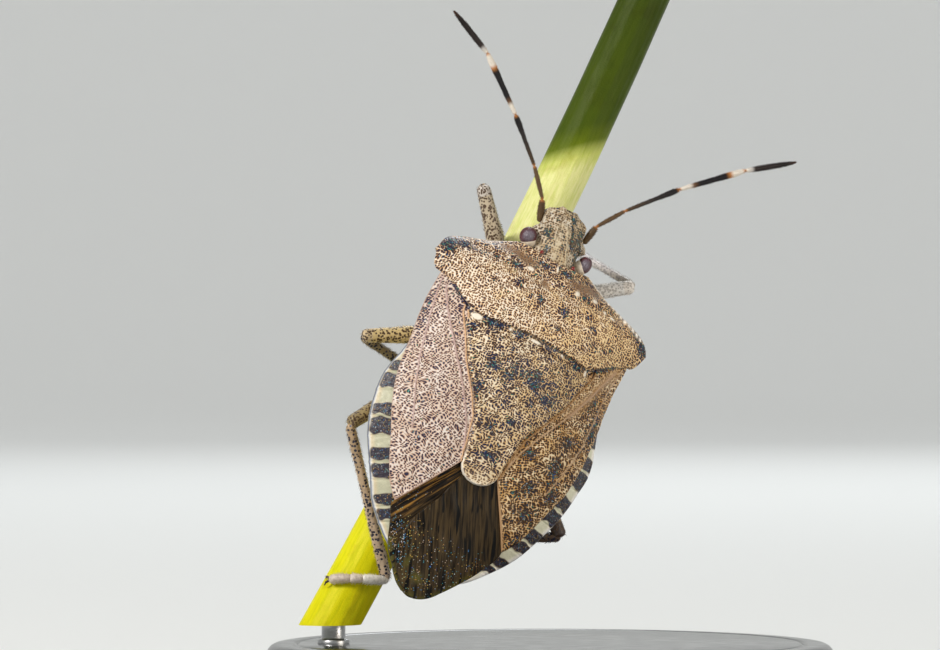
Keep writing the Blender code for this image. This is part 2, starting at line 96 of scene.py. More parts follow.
for name, place, aim, size, power, colour in LAMPS:
    lamp = bpy.data.lights.new(name, "AREA")
    lamp.shape = "DISK"
    lamp.size = size * MM
    lamp.energy = power
    lamp.color = colour
    holder = link(name, lamp)
    holder.location = Vector(place) * MM
    holder.rotation_euler = (Vector(aim) - Vector(place)).to_track_quat("-Z", "Y").to_euler()

world = bpy.data.worlds.new("studio")
world.use_nodes = True
set_inputs(world.node_tree.nodes["Background"], Color=(0.95, 0.97, 1.0, 1.0), Strength=0.32)
scene.world = world


def revolved(profile, sides):
    """Rings of points round an upright line, from (radius, height) pairs."""
    angles = np.linspace(0, 2 * math.pi, sides, endpoint=False)
    return np.array([[(r * math.cos(a), r * math.sin(a), z) for a in angles] for r, z in profile])


def loft(rings, capped=True):
    """Points and faces of a skin over equal rings, with its two ends closed."""
    count, around = rings.shape[:2]
    index = np.arange(count * around).reshape(count, around)
    near, far = index[:-1], index[1:]
    faces = np.stack([near, np.roll(near, -1, 1), np.roll(far, -1, 1), far], -1).reshape(-1, 4).tolist()
    if capped:
        faces += [index[0][::-1].tolist(), index[-1].tolist()]
    return rings.reshape(-1, 3), faces


look, _, _ = new_look("pale_sheet", Base_Color=(0.80, 0.81, 0.80, 1.0), Roughness=0.9,
                      Specular_IOR_Level=0.2)
points, faces = loft(revolved([(0.02, 0.0), (0.2, 0.0)] + SHEET_PROFILE[1:], SHEET_SIDES), capped=False)
mesh = bpy.data.meshes.new("pale_sheet")
mesh.from_pydata(points.tolist(), [], faces + [list(range(SHEET_SIDES))[::-1]])
mesh.materials.append(look)
mesh.shade_smooth()
link("pale_sheet", mesh)

# Stand base: a flat round weight, turned from steel and coated with smooth black enamel. It carries the
# rod, and its edge is rounded over.
BASE_PROFILE = (
    (9.70, 0.00), (9.85, 0.02), (9.95, 0.08), (9.99, 0.20), (10.0, 0.40), (10.0, 1.35), (9.99, 1.50),
    (9.94, 1.65), (9.84, 1.76), (9.70, 1.83), (9.50, 1.85), (9.10, 1.85), (9.04, 1.83), (9.00, 1.79),
    (8.90, 1.79), (8.86, 1.83), (8.80, 1.85), (5.0, 1.85), (1.0, 1.85),
)


def make_piece(name, skin, look, nodes, fields=(), trees=(), sharp=60):
    """One closed piece from a skin in millimetres, with named values on its points. Trees of geometry
    nodes may finish its mesh."""
    points, faces = skin
    mesh = bpy.data.meshes.new(name)
    mesh.from_pydata((np.asarray(points) * MM).tolist(), [], faces)
    for field, numbers in dict(fields).items():
        vectors = numbers.ndim == 2
        layer = mesh.attributes.new(field, "FLOAT_VECTOR" if vectors else "FLOAT", "POINT")
        layer.data.foreach_set("vector" if vectors else "value", numbers.astype(np.float32).ravel())
    form = bmesh.new()
    form.from_mesh(mesh)
    if form.calc_volume(signed=True) < 0:
        mesh.flip_normals()
    form.free()
    mesh.materials.append(look)
    mesh.shade_smooth()
    mesh.set_sharp_from_angle(angle=math.radians(sharp))
    made = link(name, mesh)
    for tree, values in trees:
        modifier = made.modifiers.new(tree.name, "NODES")
        modifier.node_group = tree
        names = {s.name: s.identifier for s in tree.interface.items_tree if s.in_out == "INPUT"}
        for socket, value in values.items():
            modifier[names[socket]] = value
        modifier[names["Finish"]] = look
    if trees:
        depsgraph = bpy.context.evaluated_depsgraph_get()
        made.data = bpy.data.meshes.new_from_object(made.evaluated_get(depsgraph))
        made.modifiers.clear()
    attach(made, "root")
    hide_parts(*nodes)


def add_node(kind, settings=(), tree=None, **sockets):
    """A new node with some settings and inputs, in the tree of the outputs that it takes in."""
    joined_to = [value.id_data for value in sockets.values() if isinstance(value, bpy.types.NodeSocket)]
    made = (tree or joined_to[0]).nodes.new(kind)
    for name, value in dict(settings).items():
        setattr(made, name, value)
    return set_inputs(made, **sockets)


def scaled(vector, scale):
    return add_node("ShaderNodeVectorMath", {"operation": "SCALE"}, Vector=vector, Scale=scale).outputs[0]


def object_place(tree, scale=1.0):
    """A point of the model in millimetres, times a scale."""
    return scaled(tree.nodes.new("ShaderNodeTexCoord").outputs["Object"], scale / MM)


def noise(place, scale, detail=2.0, roughness=0.5):
    return add_node("ShaderNodeTexNoise", Vector=place, Scale=scale, Detail=detail,
                    Roughness=roughness).outputs["Fac"]


def fade(value, start, end, low=0.0, high=1.0):
    """A smooth change from low to high while a value goes from start to end."""
    return add_node("ShaderNodeMapRange", {"interpolation_type": "SMOOTHSTEP"}, Value=value,
                    From_Min=start, From_Max=end, To_Min=low, To_Max=high).outputs[0]


def blend_colours(share, first, second, kind="MIX"):
    first, second = [(*c, 1.0) if isinstance(c, tuple) else c for c in (first, second)]
    return add_node("ShaderNodeMix", {"data_type": "RGBA", "blend_type": kind}, i0=share, i6=first,
                    i7=second).outputs[2]


def add_bump(shader, height, depth, strength=1.0):
    """Fine relief too small to model, with its depth in millimetres."""
    set_inputs(shader, Normal=add_node("ShaderNodeBump", Height=height, Strength=strength,
                                       Distance=depth * MM).outputs[0])


look, tree, shader = new_look("black_enamel", Coat_Weight=0.4, Coat_Roughness=0.08)
place = object_place(tree)
colour = blend_colours(noise(place, 0.5, 3.0), (0.006, 0.006, 0.007), (0.011, 0.011, 0.012))
set_inputs(shader, Base_Color=colour, Roughness=fade(noise(place, 1.1, 4.0), 0.3, 0.7, 0.13, 0.22))
add_bump(shader, noise(place, 2.2), depth=0.006)
make_piece("round_base", loft(revolved(BASE_PROFILE, 256)), look, ["stand_base"], sharp=50)

# Stand rod: a short pin of brushed steel with a low collar, pressed into the base. The cut stem is pushed
# over its upper end.
ROD_PLACE = (-7.62, -0.41)
ROD_PROFILE = (
    (0.40, 1.80), (0.56, 1.84), (0.57, 1.93), (0.54, 1.99), (0.44, 2.02), (0.42, 2.05), (0.42, 2.50),
    (0.41, 2.62), (0.36, 2.66),
)


def stretched(place, scale, shift=(0.0, 0.0, 0.0)):
    return add_node("ShaderNodeMapping", Vector=place, Scale=scale, Location=shift).outputs[0]


look, tree, shader = new_look("brushed_steel", Metallic=1.0)
brushed = noise(stretched(object_place(tree), (1.5, 1.5, 60.0)), 1.0, 3.0)
set_inputs(shader, Base_Color=blend_colours(brushed, (0.46, 0.46, 0.47), (0.62, 0.62, 0.63)),
           Roughness=fade(brushed, 0.3, 0.7, 0.24, 0.38))
add_bump(shader, brushed, depth=0.003)
make_piece("steel_pin", loft(revolved(ROD_PROFILE, 64) + np.array([*ROD_PLACE, 0.0])), look, ["stand_rod"],
           sharp=40)

# Stem: a fresh green plant stem, cut to length and held upright by the pin. It is faintly ribbed and yellow
# at the bottom, with painted light making it cream where the bug sits and painted shade making it dark olive
# above, along a slanting shadow edge; its cut end shows pale pith.
STEM_POINTS = np.array(((-8.23, -0.81, 1.64), (-2.13, 2.37, 13.05), (3.46, 5.66, 24.82)))
STEM_BOTTOM = 2.52
STEM_TOP = 25.4
# Rings of the cut end, as (share of the radius, rise above the cut).
STEM_END = (
    (0.99, -0.01), (0.95, 0.02), (0.88, 0.02), (0.84, -0.03), (0.55, -0.05), (0.25, -0.05), (0.05, -0.05),
)
STEM_RADIUS_LOW = 0.96
STEM_RADIUS_HIGH = 0.87
# Colours up the stem by height in millimetres: yellow below, painted light in cream near the bug, and
# painted shade in dark olive above.
STEM_LIGHT_AND_SHADE_TONES = (
    (2.0, (0.70, 0.63, 0.002)), (5.0, (0.74, 0.69, 0.004)), (9.0, (0.68, 0.64, 0.03)),
    (14.0, (0.74, 0.70, 0.22)), (16.5, (0.80, 0.79, 0.38)), (18.5, (0.78, 0.77, 0.34)),
    (18.95, (0.60, 0.63, 0.17)), (19.5, (0.12, 0.16, 0.006)), (20.2, (0.060, 0.090, 0.003)),
    (26.0, (0.040, 0.060, 0.003)),
)
# How far the painted shadow edge slants across the stem.
STEM_SHADOW_EDGE_SLANT = 0.36
BUG_BACK = (0.405, -0.902, 0.150)


def unit(vectors):
    return vectors / np.linalg.norm(vectors, axis=-1, keepdims=True)


def tones(values, stops):
    """Colours at many places from (place, colour) stops in rising order."""
    colours = np.array([colour for _, colour in stops])
    return np.stack([np.interp(values, [p for p, _ in stops], colours[:, k]) for k in range(3)], -1)


def stem_point(height):
    """Centre of the stem at a height: the parabola through its three points."""
    place = 0.0
    for i, knot in enumerate(STEM_POINTS):
        others = [k[2] for j, k in enumerate(STEM_POINTS) if j != i]
        place = place + math.prod((height - z) / (knot[2] - z) for z in others) * knot
    return place


def stem_radius(height):
    share = (height - STEM_POINTS[0, 2]) / (STEM_POINTS[2, 2] - STEM_POINTS[0, 2])
    return STEM_RADIUS_LOW + (STEM_RADIUS_HIGH - STEM_RADIUS_LOW) * share


def on_stem(height, turn, clearance):
    """Point beside the stem, at an angle in degrees from the side that faces the bug."""
    way = unit(stem_point(height + 0.5) - stem_point(height - 0.5))
    back = np.array(BUG_BACK)
    towards_bug = unit(back - way * (back @ way))
    turn = math.radians(turn)
    out = towards_bug * math.cos(turn) + np.cross(way, towards_bug) * math.sin(turn)
    return stem_point(height) + out * (stem_radius(height) + clearance)


steps = [(h, 1.0, 0.0) for h in np.linspace(3.15, STEM_TOP - 0.04, 230)]
steps += [(STEM_TOP, share, rise) for share, rise in STEM_END]
turns = np.linspace(0, 2 * math.pi, 80, endpoint=False)
rings = []
for height, share, rise in steps:
    ribs = 1.0 + 0.010 * np.cos(13 * turns + 0.05 * height) + 0.006 * np.cos(5 * turns + 1.0 + 0.2 * height)
    ribs = ribs + 0.004 * np.sin(1.9 * height + 2 * turns)
    ring = [on_stem(height, math.degrees(a), 0.0) for a in turns]
    centre = stem_point(height) + unit(stem_point(height + 0.5) - stem_point(height - 0.5)) * rise
    rings.append(centre + (np.array(ring) - stem_point(height)) * (ribs * share)[:, None])
way = unit(stem_point(3.05) - stem_point(2.05))
level_cut = rings[0] + way * ((STEM_BOTTOM - rings[0][:, 2:]) / way[2])
middle = level_cut.mean(0)
rings = np.array([middle + (level_cut - middle) * share for share in (0.06, 0.97)] + [level_cut] + rings)
heights = np.array([0.0, 0.0, STEM_BOTTOM] + [h for h, _, _ in steps])
# The painted light and shade follow a slanting shadow edge across the stem.
shadow_edge_slant = STEM_SHADOW_EDGE_SLANT * (rings[..., 0] - rings[..., 0].mean(1, keepdims=True))
tint = tones(rings[..., 2] - shadow_edge_slant, STEM_LIGHT_AND_SHADE_TONES)
tint[:2] = tint[-5:] = (0.62, 0.66, 0.36)
grain = np.stack(np.broadcast_arrays(np.cos(turns)[None], np.sin(turns)[None], heights[:, None] * 0.16), -1)


def attribute(tree, name, output="Vector"):
    return add_node("ShaderNodeAttribute", {"attribute_name": name}, tree).outputs[output]


def math_node(operation, *values):
    """Works out a value from two or three values, of which at least one is a node's output."""
    return add_node("ShaderNodeMath", {"operation": operation},
                    **{f"i{k}": value for k, value in enumerate(values)}).outputs[0]


def plus(first, second):
    return math_node("ADD", first, second)


look, tree, shader = new_look("green_stem", Specular_IOR_Level=0.12, Subsurface_Weight=0.15,
                              Subsurface_Radius=(0.4, 0.5, 0.1), Subsurface_Scale=0.6 * MM)
streaks = noise(attribute(tree, "grain"), 9.0, 4.0, 0.6)
blotches = noise(object_place(tree), 1.2, 4.0, 0.6)
darker = blend_colours(fade(streaks, 0.35, 0.75), (1.0, 1.0, 1.0), (0.80, 0.86, 0.55))
spotted = blend_colours(fade(blotches, 0.45, 0.75), (1.0, 1.0, 1.0), (0.88, 0.84, 0.75))
colour = blend_colours(1.0, attribute(tree, "tint", "Color"), darker, "MULTIPLY")
set_inputs(shader, Base_Color=blend_colours(1.0, colour, spotted, "MULTIPLY"),
           Roughness=fade(streaks, 0.3, 0.7, 0.42, 0.60))
add_bump(shader, plus(streaks, noise(object_place(tree), 18.0, 3.0)), depth=0.02, strength=0.6)
make_piece("plant_stem", loft(rings), look, ["perch_stem"],
           {"tint": tint.reshape(-1, 3), "grain": grain.reshape(-1, 3)}, sharp=50)

# Thorax and abdomen: the boat-shaped body under the plates, of tan cuticle. Rings of the abdomen are joined
# by fine seams with a breathing hole near each side, and low collars on the thorax hold the hips. Its top,
# seen only in the gaps between the plates, is painted near black as shade.
BUG_PLACE = (-1.045, -1.791, 12.882)
BUG_FACING = (0.351, 0.305, 0.886)
BACK_HEIGHT = (
    (-10.6, 0.30), (-9.3, 0.62), (-7.7, 0.98), (-6.15, 1.32), (-4.5, 1.66), (-2.5, 1.95), (-0.65, 2.05),
    (0.4, 1.95), (1.4, 1.62), (2.5, 1.08), (3.6, 0.75), (4.7, 0.36),
)
SIDE_HEIGHT = (
    (-10.6, 0.05), (-8.0, 0.18), (-5.0, 0.25), (-2.4, 0.36), (-0.6, 0.52), (0.3, 0.85), (0.9, 1.06),
    (1.55, 0.68), (2.25, 0.36), (2.7, 0.28),
)
HALF_WIDTH = (
    (-10.6, 1.2), (-9.6, 1.7), (-8.65, 2.5), (-7.95, 2.95), (-6.7, 3.5), (-5.8, 3.85), (-4.6, 4.12),
    (-3.5, 4.2), (-2.4, 4.05), (-0.7, 3.9), (0.2, 4.1), (0.9, 4.35), (1.55, 4.05), (1.88, 3.4),
    (2.25, 2.5), (2.7, 1.7),
)
CROWN_POWER = 2.3
BELLY_DEPTH = (
    (-10.1, 0.25), (-9.6, 0.95), (-8.5, 1.55), (-6.5, 2.0), (-4.0, 2.2), (-2.0, 2.2), (0.0, 2.05),
    (1.4, 1.6), (2.4, 0.95),
)
BELLY_HALF_WIDTH = (
    (-10.1, 0.35), (-9.55, 0.85), (-8.63, 1.70), (-7.92, 2.35), (-6.7, 3.0), (-5.8, 3.45), (-4.6, 3.75),
    (-3.6, 3.85), (-2.4, 3.75), (-0.7, 3.5), (0.2, 3.5), (0.9, 3.35), (1.55, 2.8), (2.0, 2.2), (2.4, 1.4),
)
BELLY_POWER = 2.2
BELLY_EDGE = 0.44     # below the back, as is the next
TRUNK_TOP = 0.42
TRUNK_ENDS = {"thorax": (2.38, -2.33), "abdomen": (-2.36, -10.05)}
RING_SEAMS = (-3.65, -5.30, -6.80, -8.15, -9.10)
THORAX_SEAMS = (0.85, -1.15)
HIPS = ((0.53, 1.75), (1.50, -0.45), (1.50, -1.90))
PIT_SPACING = 0.088
PIT_RADIUS = 0.30     # in spacings
PIT_UNEVENNESS = 0.56


def along(knots, place):
    """Smooth values at many places of a shape given as (place, value) knots."""
    places, values = np.array(knots, float).T
    slopes = np.gradient(values, places)
    place = np.clip(place, places[0], places[-1])
    i = np.clip(np.searchsorted(places, place, side="right") - 1, 0, len(places) - 2)
    span = places[i + 1] - places[i]
    t = (place - places[i]) / span
    return ((2 * t**3 - 3 * t**2 + 1) * values[i] + (t**3 - 2 * t**2 + t) * span * slopes[i]
            + (3 * t**2 - 2 * t**3) * values[i + 1] + (t**3 - t**2) * span * slopes[i + 1])


def crown(x, y, middle, side, half_width, power):
    share = np.minimum(np.abs(x) / along(half_width, y), 1.0)
    return side + (middle - side) * (1.0 - share**power)


def back_height(x, y):
    return crown(x, y, along(BACK_HEIGHT, y), along(SIDE_HEIGHT, y), HALF_WIDTH, CROWN_POWER)


def to_row(points):
    """Points of the bug's frame, x to its right, y to its head and z through its back, in the model's."""
    facing = unit(np.array(BUG_FACING))
    back = unit(BUG_BACK - facing * (facing @ BUG_BACK))
    return np.asarray(points) @ np.array([np.cross(facing, back), facing, back]) + np.array(BUG_PLACE)


def ridge(distance, width):
    """A soft ridge: 1 on its line, and fading on both sides of it."""
    return np.exp(-(distance / width)**2)


def new_tree(name, sizes):
    """A geometry tree with a geometry, some sizes and a finish as its inputs."""
    tree = bpy.data.node_groups.new(name, "GeometryNodeTree")
    tree.interface.new_socket("Geometry", in_out="INPUT", socket_type="NodeSocketGeometry")
    for size, kind in sizes:
        tree.interface.new_socket(size, in_out="INPUT", socket_type="NodeSocket" + kind)
    tree.interface.new_socket("Finish", in_out="INPUT", socket_type="NodeSocketMaterial")
    tree.interface.new_socket("Geometry", in_out="OUTPUT", socket_type="NodeSocketGeometry")
    return tree, tree.nodes.new("NodeGroupInput").outputs, tree.nodes.new("NodeGroupOutput").inputs


def pit_distance(place, dimensions, running):
    """Distance from the middle of the nearest pit, counted in spacings. Pits run together more the higher
    the value of running."""
    return add_node("ShaderNodeTexVoronoi",
                    {"voronoi_dimensions": dimensions, "feature": "SMOOTH_F1"},
                    Vector=scaled(place, 1.0 / PIT_SPACING), Scale=1.0, Smoothness=running,
                    Randomness=PIT_UNEVENNESS).outputs["Distance"]


def times(first, second):
    return math_node("MULTIPLY", first, second)


def minus(first, second):
    return math_node("SUBTRACT", first, second)


def split(vector):
    return add_node("ShaderNodeSeparateXYZ", Vector=vector).outputs[:3]


def named_vector(tree, name):
    settings = {"data_type": "FLOAT_VECTOR"}
    return add_node("GeometryNodeInputNamedAttribute", settings, tree, Name=name).outputs[0]


def pit_tree(dimensions):
    """Sinks pits into a skin, except where it is marked bare."""
    tree, given, result = new_tree("pits_" + dimensions, (("Depth", "Float"), ("Running", "Float")))
    bare = split(named_vector(tree, "marks"))[0]
    distance = pit_distance(named_vector(tree, "plan"), dimensions, given["Running"])
    sunk = times(fade(distance, PIT_RADIUS + 0.16, 0.05, 0.0, -1.0), minus(1.0, bare))
    normal = tree.nodes.new("GeometryNodeInputNormal").outputs["Normal"]
    moved = add_node("GeometryNodeSetPosition", Geometry=given["Geometry"],
                     Offset=scaled(normal, times(sunk, given["Depth"])))
    real = add_node("GeometryNodeRealizeInstances", Geometry=moved.outputs[0])
    done = add_node("GeometryNodeSetMaterial", Geometry=real.outputs[0], Material=given["Finish"])
    tree.links.new(done.outputs[0], result[0])
    return tree


def glint_hues(chance, hues):
    """Colours of tiny glints, picked by a random value."""
    ramp = add_node("ShaderNodeValToRGB", Fac=chance)
    ramp.color_ramp.elements[0].color = (*hues[0], 1.0)
    ramp.color_ramp.elements[1].color = (*hues[-1], 1.0)
    for place, tone in enumerate(hues[1:-1], 1):
        ramp.color_ramp.elements.new(place / (len(hues) - 1)).color = (*tone, 1.0)
    return ramp.outputs["Color"]


DIM_HUES = (
    (0.015, 0.05, 0.22), (0.01, 0.13, 0.20), (0.03, 0.24, 0.17), (0.30, 0.16, 0.05), (0.30, 0.42, 0.50),
)


def flecks(place, dimensions="3D"):
    """Tiny cells: the distance from the middle of a cell, and two random values of its own."""
    settings = {"voronoi_dimensions": dimensions}
    cells = add_node("ShaderNodeTexVoronoi", settings, Vector=place, Scale=1.0).outputs
    chances = add_node("ShaderNodeSeparateColor", Color=cells["Color"]).outputs
    return cells["Distance"], chances["Red"], chances["Green"]


def cuticle(name, pale, warm, halo, inks, coverage, mottle, scar=(0.16, 0.10, 0.08), bare=(0.88, 0.80, 0.68),
            dimensions="2D", roughness=0.42, glint=0.5, running=0.05, painted_light_tilt=0.0):
    """Pale pitted cuticle: each pit has a dark floor and a warm rim. In dark patches the pits run together
    and hold tiny blue and green glints. Painted light and shade can turn the ground paler towards the bug's
    left and more golden towards its right, the more so the higher the tilt."""
    look, tree, shader = new_look(name, Specular_IOR_Level=0.35)
    place = attribute(tree, "plan")
    bareness, darkness, scars = split(attribute(tree, "marks"))
    unevenness = plus(noise(place, 1.9, 3.0, 0.6), noise(place, 5.0))
    reach = math_node("MULTIPLY_ADD", unevenness, mottle, PIT_RADIUS - mottle + coverage)
    beyond = minus(pit_distance(place, dimensions, running), plus(reach, times(darkness, 0.38)))
    pitted = minus(1.0, bareness)
    dark = times(fade(beyond, 0.05, -0.05), pitted)
    rim = times(fade(beyond, 0.30, 0.02), pitted)
    warmth = math_node("MULTIPLY_ADD", split(place)[0], painted_light_tilt, noise(place, 1.3, 3.0, 0.65))
    ground = blend_colours(fade(warmth, 0.32, 0.68), pale, warm)
    ground = blend_colours(scars, blend_colours(bareness, ground, bare), scar)
    floor = blend_colours(fade(noise(place, 3.1, 3.0), 0.42, 0.60), *inks)
    colour = blend_colours(dark, blend_colours(rim, ground, halo), floor)
    away, chance, hue = flecks(scaled(place, 17.0), dimensions)
    often = plus(times(darkness, glint), chance)
    lit = times(fade(often, 0.88, 0.94), fade(away, 0.5, 0.3))
    set_inputs(shader, Base_Color=blend_colours(times(lit, dark), colour, glint_hues(hue, DIM_HUES)),
               Roughness=fade(dark, 0.0, 1.0, roughness, roughness - 0.12))
    add_bump(shader, minus(noise(place, 34.0), times(dark, 0.6)), depth=0.012, strength=0.35)
    return look


def belly_height(x, y):
    edge = back_height(along(BELLY_HALF_WIDTH, y), y) - BELLY_EDGE
    return crown(x, y, -along(BELLY_DEPTH, y), edge, BELLY_HALF_WIDTH, BELLY_POWER)


deep_pits = pit_tree("3D")
# The near-black scar colour marks the breathing holes and glands, and is painted shade on the trunk's top.
belly_cuticle = cuticle("belly_cuticle", (0.66, 0.55, 0.33), (0.55, 0.42, 0.22), (0.36, 0.22, 0.09),
                        ((0.035, 0.025, 0.02), (0.02, 0.03, 0.04)), coverage=-0.10, mottle=0.40,
                        scar=(0.03, 0.02, 0.015), bare=(0.70, 0.60, 0.38), dimensions="3D", roughness=0.36)
for part_name, (front, rear) in TRUNK_ENDS.items():
    y, t = np.meshgrid(np.linspace(front, rear, 170), np.sin(np.linspace(-math.pi / 2, math.pi / 2, 150)),
                       indexing="ij")
    half = along(BELLY_HALF_WIDTH, y)
    x = half * t
    below = belly_height(x, y)
    marks = np.zeros((*x.shape, 3))
    marks[..., 0] = np.clip(1.15 - 1.3 * np.abs(t), 0.25, 0.9)
    marks[..., 1] = np.clip(np.abs(t) * 2 - 1.1, 0, 1)
    for seam in RING_SEAMS if part_name == "abdomen" else THORAX_SEAMS:
        away = y - (seam + 0.22 * (1 - t**2))
        below = below + 0.05 * ridge(away, 0.035) + 0.035 * np.exp(-np.abs(away) / 0.25) * (away < 0)
        if part_name == "abdomen" and seam > -9:
            hole = np.hypot((np.abs(t) - 0.80) * half / 0.07, (y - seam + 0.72) / 0.055)
            below = below + 0.05 * np.exp(-hole**2) - 0.03 * ridge(hole - 1.6, 0.5)
            marks[..., 2] = np.maximum(marks[..., 2], np.exp(-hole**2))
    if part_name == "thorax":
        below = below + 0.10 * ridge(x, 0.16)
        for hip_x, hip_y in HIPS:
            socket = np.hypot(np.abs(x) - hip_x, y - hip_y)
            below = below - 0.10 * ridge(socket - 0.42, 0.10) + 0.12 * np.exp(-(socket / 0.3)**4)
        gland = np.hypot((np.abs(x) - 2.55) / 0.35, (y + 0.75) / 0.10)
        below = below - 0.08 * ridge(gland - 1.0, 0.4)
        marks[..., 2] = np.maximum(marks[..., 2], 0.7 * np.exp(-(gland / 2.2)**4))
    top_t = np.linspace(1, -1, 24)[None, :]
    top_x = half[:, :1] * top_t
    top_y = np.repeat(y[:, :1], 24, 1)
    above = np.stack([top_x, top_y, back_height(top_x, top_y) - TRUNK_TOP], -1)
    rings = np.concatenate([np.stack([x, y, below], -1), above], 1)
    for ring in (0, -1):
        rings[ring] += (rings[ring].mean(0) - rings[ring]) * 0.04
    # Painted shade: the top of the trunk, seen only between the plates, is marked to take the near-black
    # scar colour.
    marks = np.concatenate([marks, np.tile([1.0, 0.0, 1.0], (*above.shape[:2], 1))], 1)
    points, faces = loft(rings)
    make_piece(part_name + "_shell", (to_row(points), faces), belly_cuticle, [part_name],
               {"plan": points, "marks": marks.reshape(-1, 3)},
               [(deep_pits, {"Depth": 0.015 * MM, "Running": 0.0})])

# Connexivum: the side rims of the abdomen that stand out past the wings. Each ring of the abdomen adds an
# ivory plate between black ones, with a pale line at each joint. The left rim's ivory and cream are painted
# darker as shade and the right rim's brighter as light, with a painted highlight along its outer edge.
RIMS = {
    "left": ((3.78, -2.45), (3.88, -2.85), (4.00, -3.20), (4.12, -3.75), (4.10, -4.60), (3.84, -5.80),
             (3.42, -6.70), (2.74, -7.95), (2.28, -8.50), (1.80, -8.97), (1.50, -9.20)),
    "right": ((3.99, -2.10), (4.14, -2.65), (4.27, -3.20), (4.31, -3.70), (4.19, -4.40), (3.94, -5.40),
              (3.50, -6.45), (2.72, -7.85), (2.10, -8.55), (1.60, -9.05), (1.20, -9.35)),
}
RIM_INNER = (
    (3.50, -2.35), (3.52, -3.10), (3.46, -3.85), (3.20, -4.90), (2.90, -5.70), (2.68, -6.30),
    (2.15, -7.40), (1.85, -7.90), (1.55, -8.50), (1.15, -9.05),
)
# Painted light and shade: the left rim's ivory and cream are darker and the right rim's brighter.
LIT_AND_SHADED_IVORIES = {"left": (0.50, 0.49, 0.35), "right": (0.78, 0.76, 0.58)}
LIT_AND_SHADED_CREAMS = {"left": (0.62, 0.52, 0.34), "right": (0.82, 0.68, 0.46)}
BLACK = (0.020, 0.014, 0.026)
RIM_MARGINS = {"left": 0.025, "right": -0.01}
# Lines along the outer edge, by distance from it; the right rim's white band is a painted highlight.
RIM_LINES_AND_HIGHLIGHT = {
    "left": ((0.0, (0.04, 0.07, 0.18)), (0.025, (0.76, 0.76, 0.72)), (0.07, LIT_AND_SHADED_CREAMS["left"])),
    "right": ((0.0, (0.5, 0.55, 0.62)), (0.03, (0.95, 0.93, 0.90)), (0.11, (0.95, 0.90, 0.82))),
}
RIM_DROP = 0.17     # below the back
LIT_HUES = (
    (0.05, 0.12, 0.50), (0.05, 0.35, 0.40), (0.60, 0.42, 0.08), (0.55, 0.25, 0.06), (0.60, 0.70, 0.75),
)
# Black cells from the front to the rear, as (front, rear). A pale line between close ones is a joint.
RIM_CELLS = {
    "left": ((-2.35, -2.66), (-3.19, -3.60), (-3.71, -4.27), (-4.83, -5.25), (-5.35, -5.92), (-6.34, -6.75),
             (-6.85, -7.32), (-7.79, -8.10), (-8.20, -8.52)),
    "right": ((-2.15, -2.74), (-3.14, -3.61), (-3.70, -4.36), (-4.80, -5.32), (-5.41, -5.95), (-6.38, -6.86),
              (-6.95, -7.36), (-7.78, -8.13), (-8.21, -8.50)),
}


def walk(line, shares):
    """Points at shares, 0 to 1, of the way along a line, on a smooth curve through its points."""
    line = np.array(line, float)
    reach = np.concatenate([[0], np.cumsum(np.linalg.norm(np.diff(line, axis=0), axis=1))])
    return np.stack([along(list(zip(reach, line[:, k])), np.asarray(shares) * reach[-1])
                     for k in range(line.shape[1])], -1)


def ripples(x, y, seed, pitch, count=14):
    """Smooth random unevenness between about -1 and 1, the same each run."""
    draw = np.random.default_rng(seed)
    total = np.zeros_like(x)
    for _ in range(count):
        heading, phase, scale = draw.uniform(0, 2 * math.pi, 2).tolist() + [draw.uniform(0.7, 1.6)]
        across = x * math.cos(heading) + y * math.sin(heading)
        total += np.sin(across * 2 * math.pi * scale / pitch + phase)
    return total / math.sqrt(count)


def lattice_faces(index, order):
    """Four-sided faces between neighbours of a lattice, from the corners in some order."""
    corners = (index[:-1, :-1], index[:-1, 1:], index[1:, 1:], index[1:, :-1])
    return np.stack([corners[k] for k in order], -1).reshape(-1, 4).tolist()


def bare_shell(top, depth, rows_below=40, columns_below=16):
    """Closes a lattice of points into a shell, with a coarser lattice below it."""
    rows, columns = top.shape[:2]
    index = np.arange(rows * columns).reshape(rows, columns)
    faces = lattice_faces(index, (0, 1, 2, 3))
    i = np.unique(np.linspace(0, rows - 1, rows_below).round().astype(int))
    j = np.unique(np.linspace(0, columns - 1, columns_below).round().astype(int))
    low = top[np.ix_(i, j)].copy()
    edge_depth = np.full(low.shape[:2], min(depth, 0.07))
    edge_depth[1:-1, 1:-1] = depth
    low[..., 2] -= edge_depth
    under = rows * columns + np.arange(len(i) * len(j)).reshape(len(i), len(j))
    faces += lattice_faces(under, (0, 3, 2, 1))
    for k, (a, b) in enumerate(zip(i, i[1:])):
        faces.append(index[a:b + 1, 0].tolist() + [int(under[k + 1, 0]), int(under[k, 0])])
        faces.append(index[a:b + 1, -1][::-1].tolist() + [int(under[k, -1]), int(under[k + 1, -1])])
    for k, (a, b) in enumerate(zip(j, j[1:])):
        faces.append(index[0, a:b + 1][::-1].tolist() + [int(under[0, k]), int(under[0, k + 1])])
        faces.append(index[-1, a:b + 1].tolist() + [int(under[-1, k + 1]), int(under[-1, k])])
    return np.concatenate([top.reshape(-1, 3), low.reshape(-1, 3)]), faces


def edge_drop(distance, radius):
    """How far a plate rounds down at a distance from its edge."""
    inside = np.maximum(radius - distance, 0.0)
    return radius - np.sqrt(np.maximum(radius**2 - inside**2, 0.0))


def edge_distances(plan):
    """Distances from a lattice's points to its front, rear, left and right edge."""
    down = np.cumsum(np.pad(np.linalg.norm(np.diff(plan, axis=0), axis=-1), ((1, 0), (0, 0))), 0)
    across = np.cumsum(np.pad(np.linalg.norm(np.diff(plan, axis=1), axis=-1), ((0, 0), (1, 0))), 1)
    return down, down[-1] - down, across, across[:, -1:] - across


def whole(top, points, rest):
    """Values of all points of a shell, from those of its lattice and those of the rest."""
    top = top.reshape(-1, *top.shape[2:])
    return np.concatenate([top, np.broadcast_to(rest, (len(points) - len(top), *top.shape[1:]))])


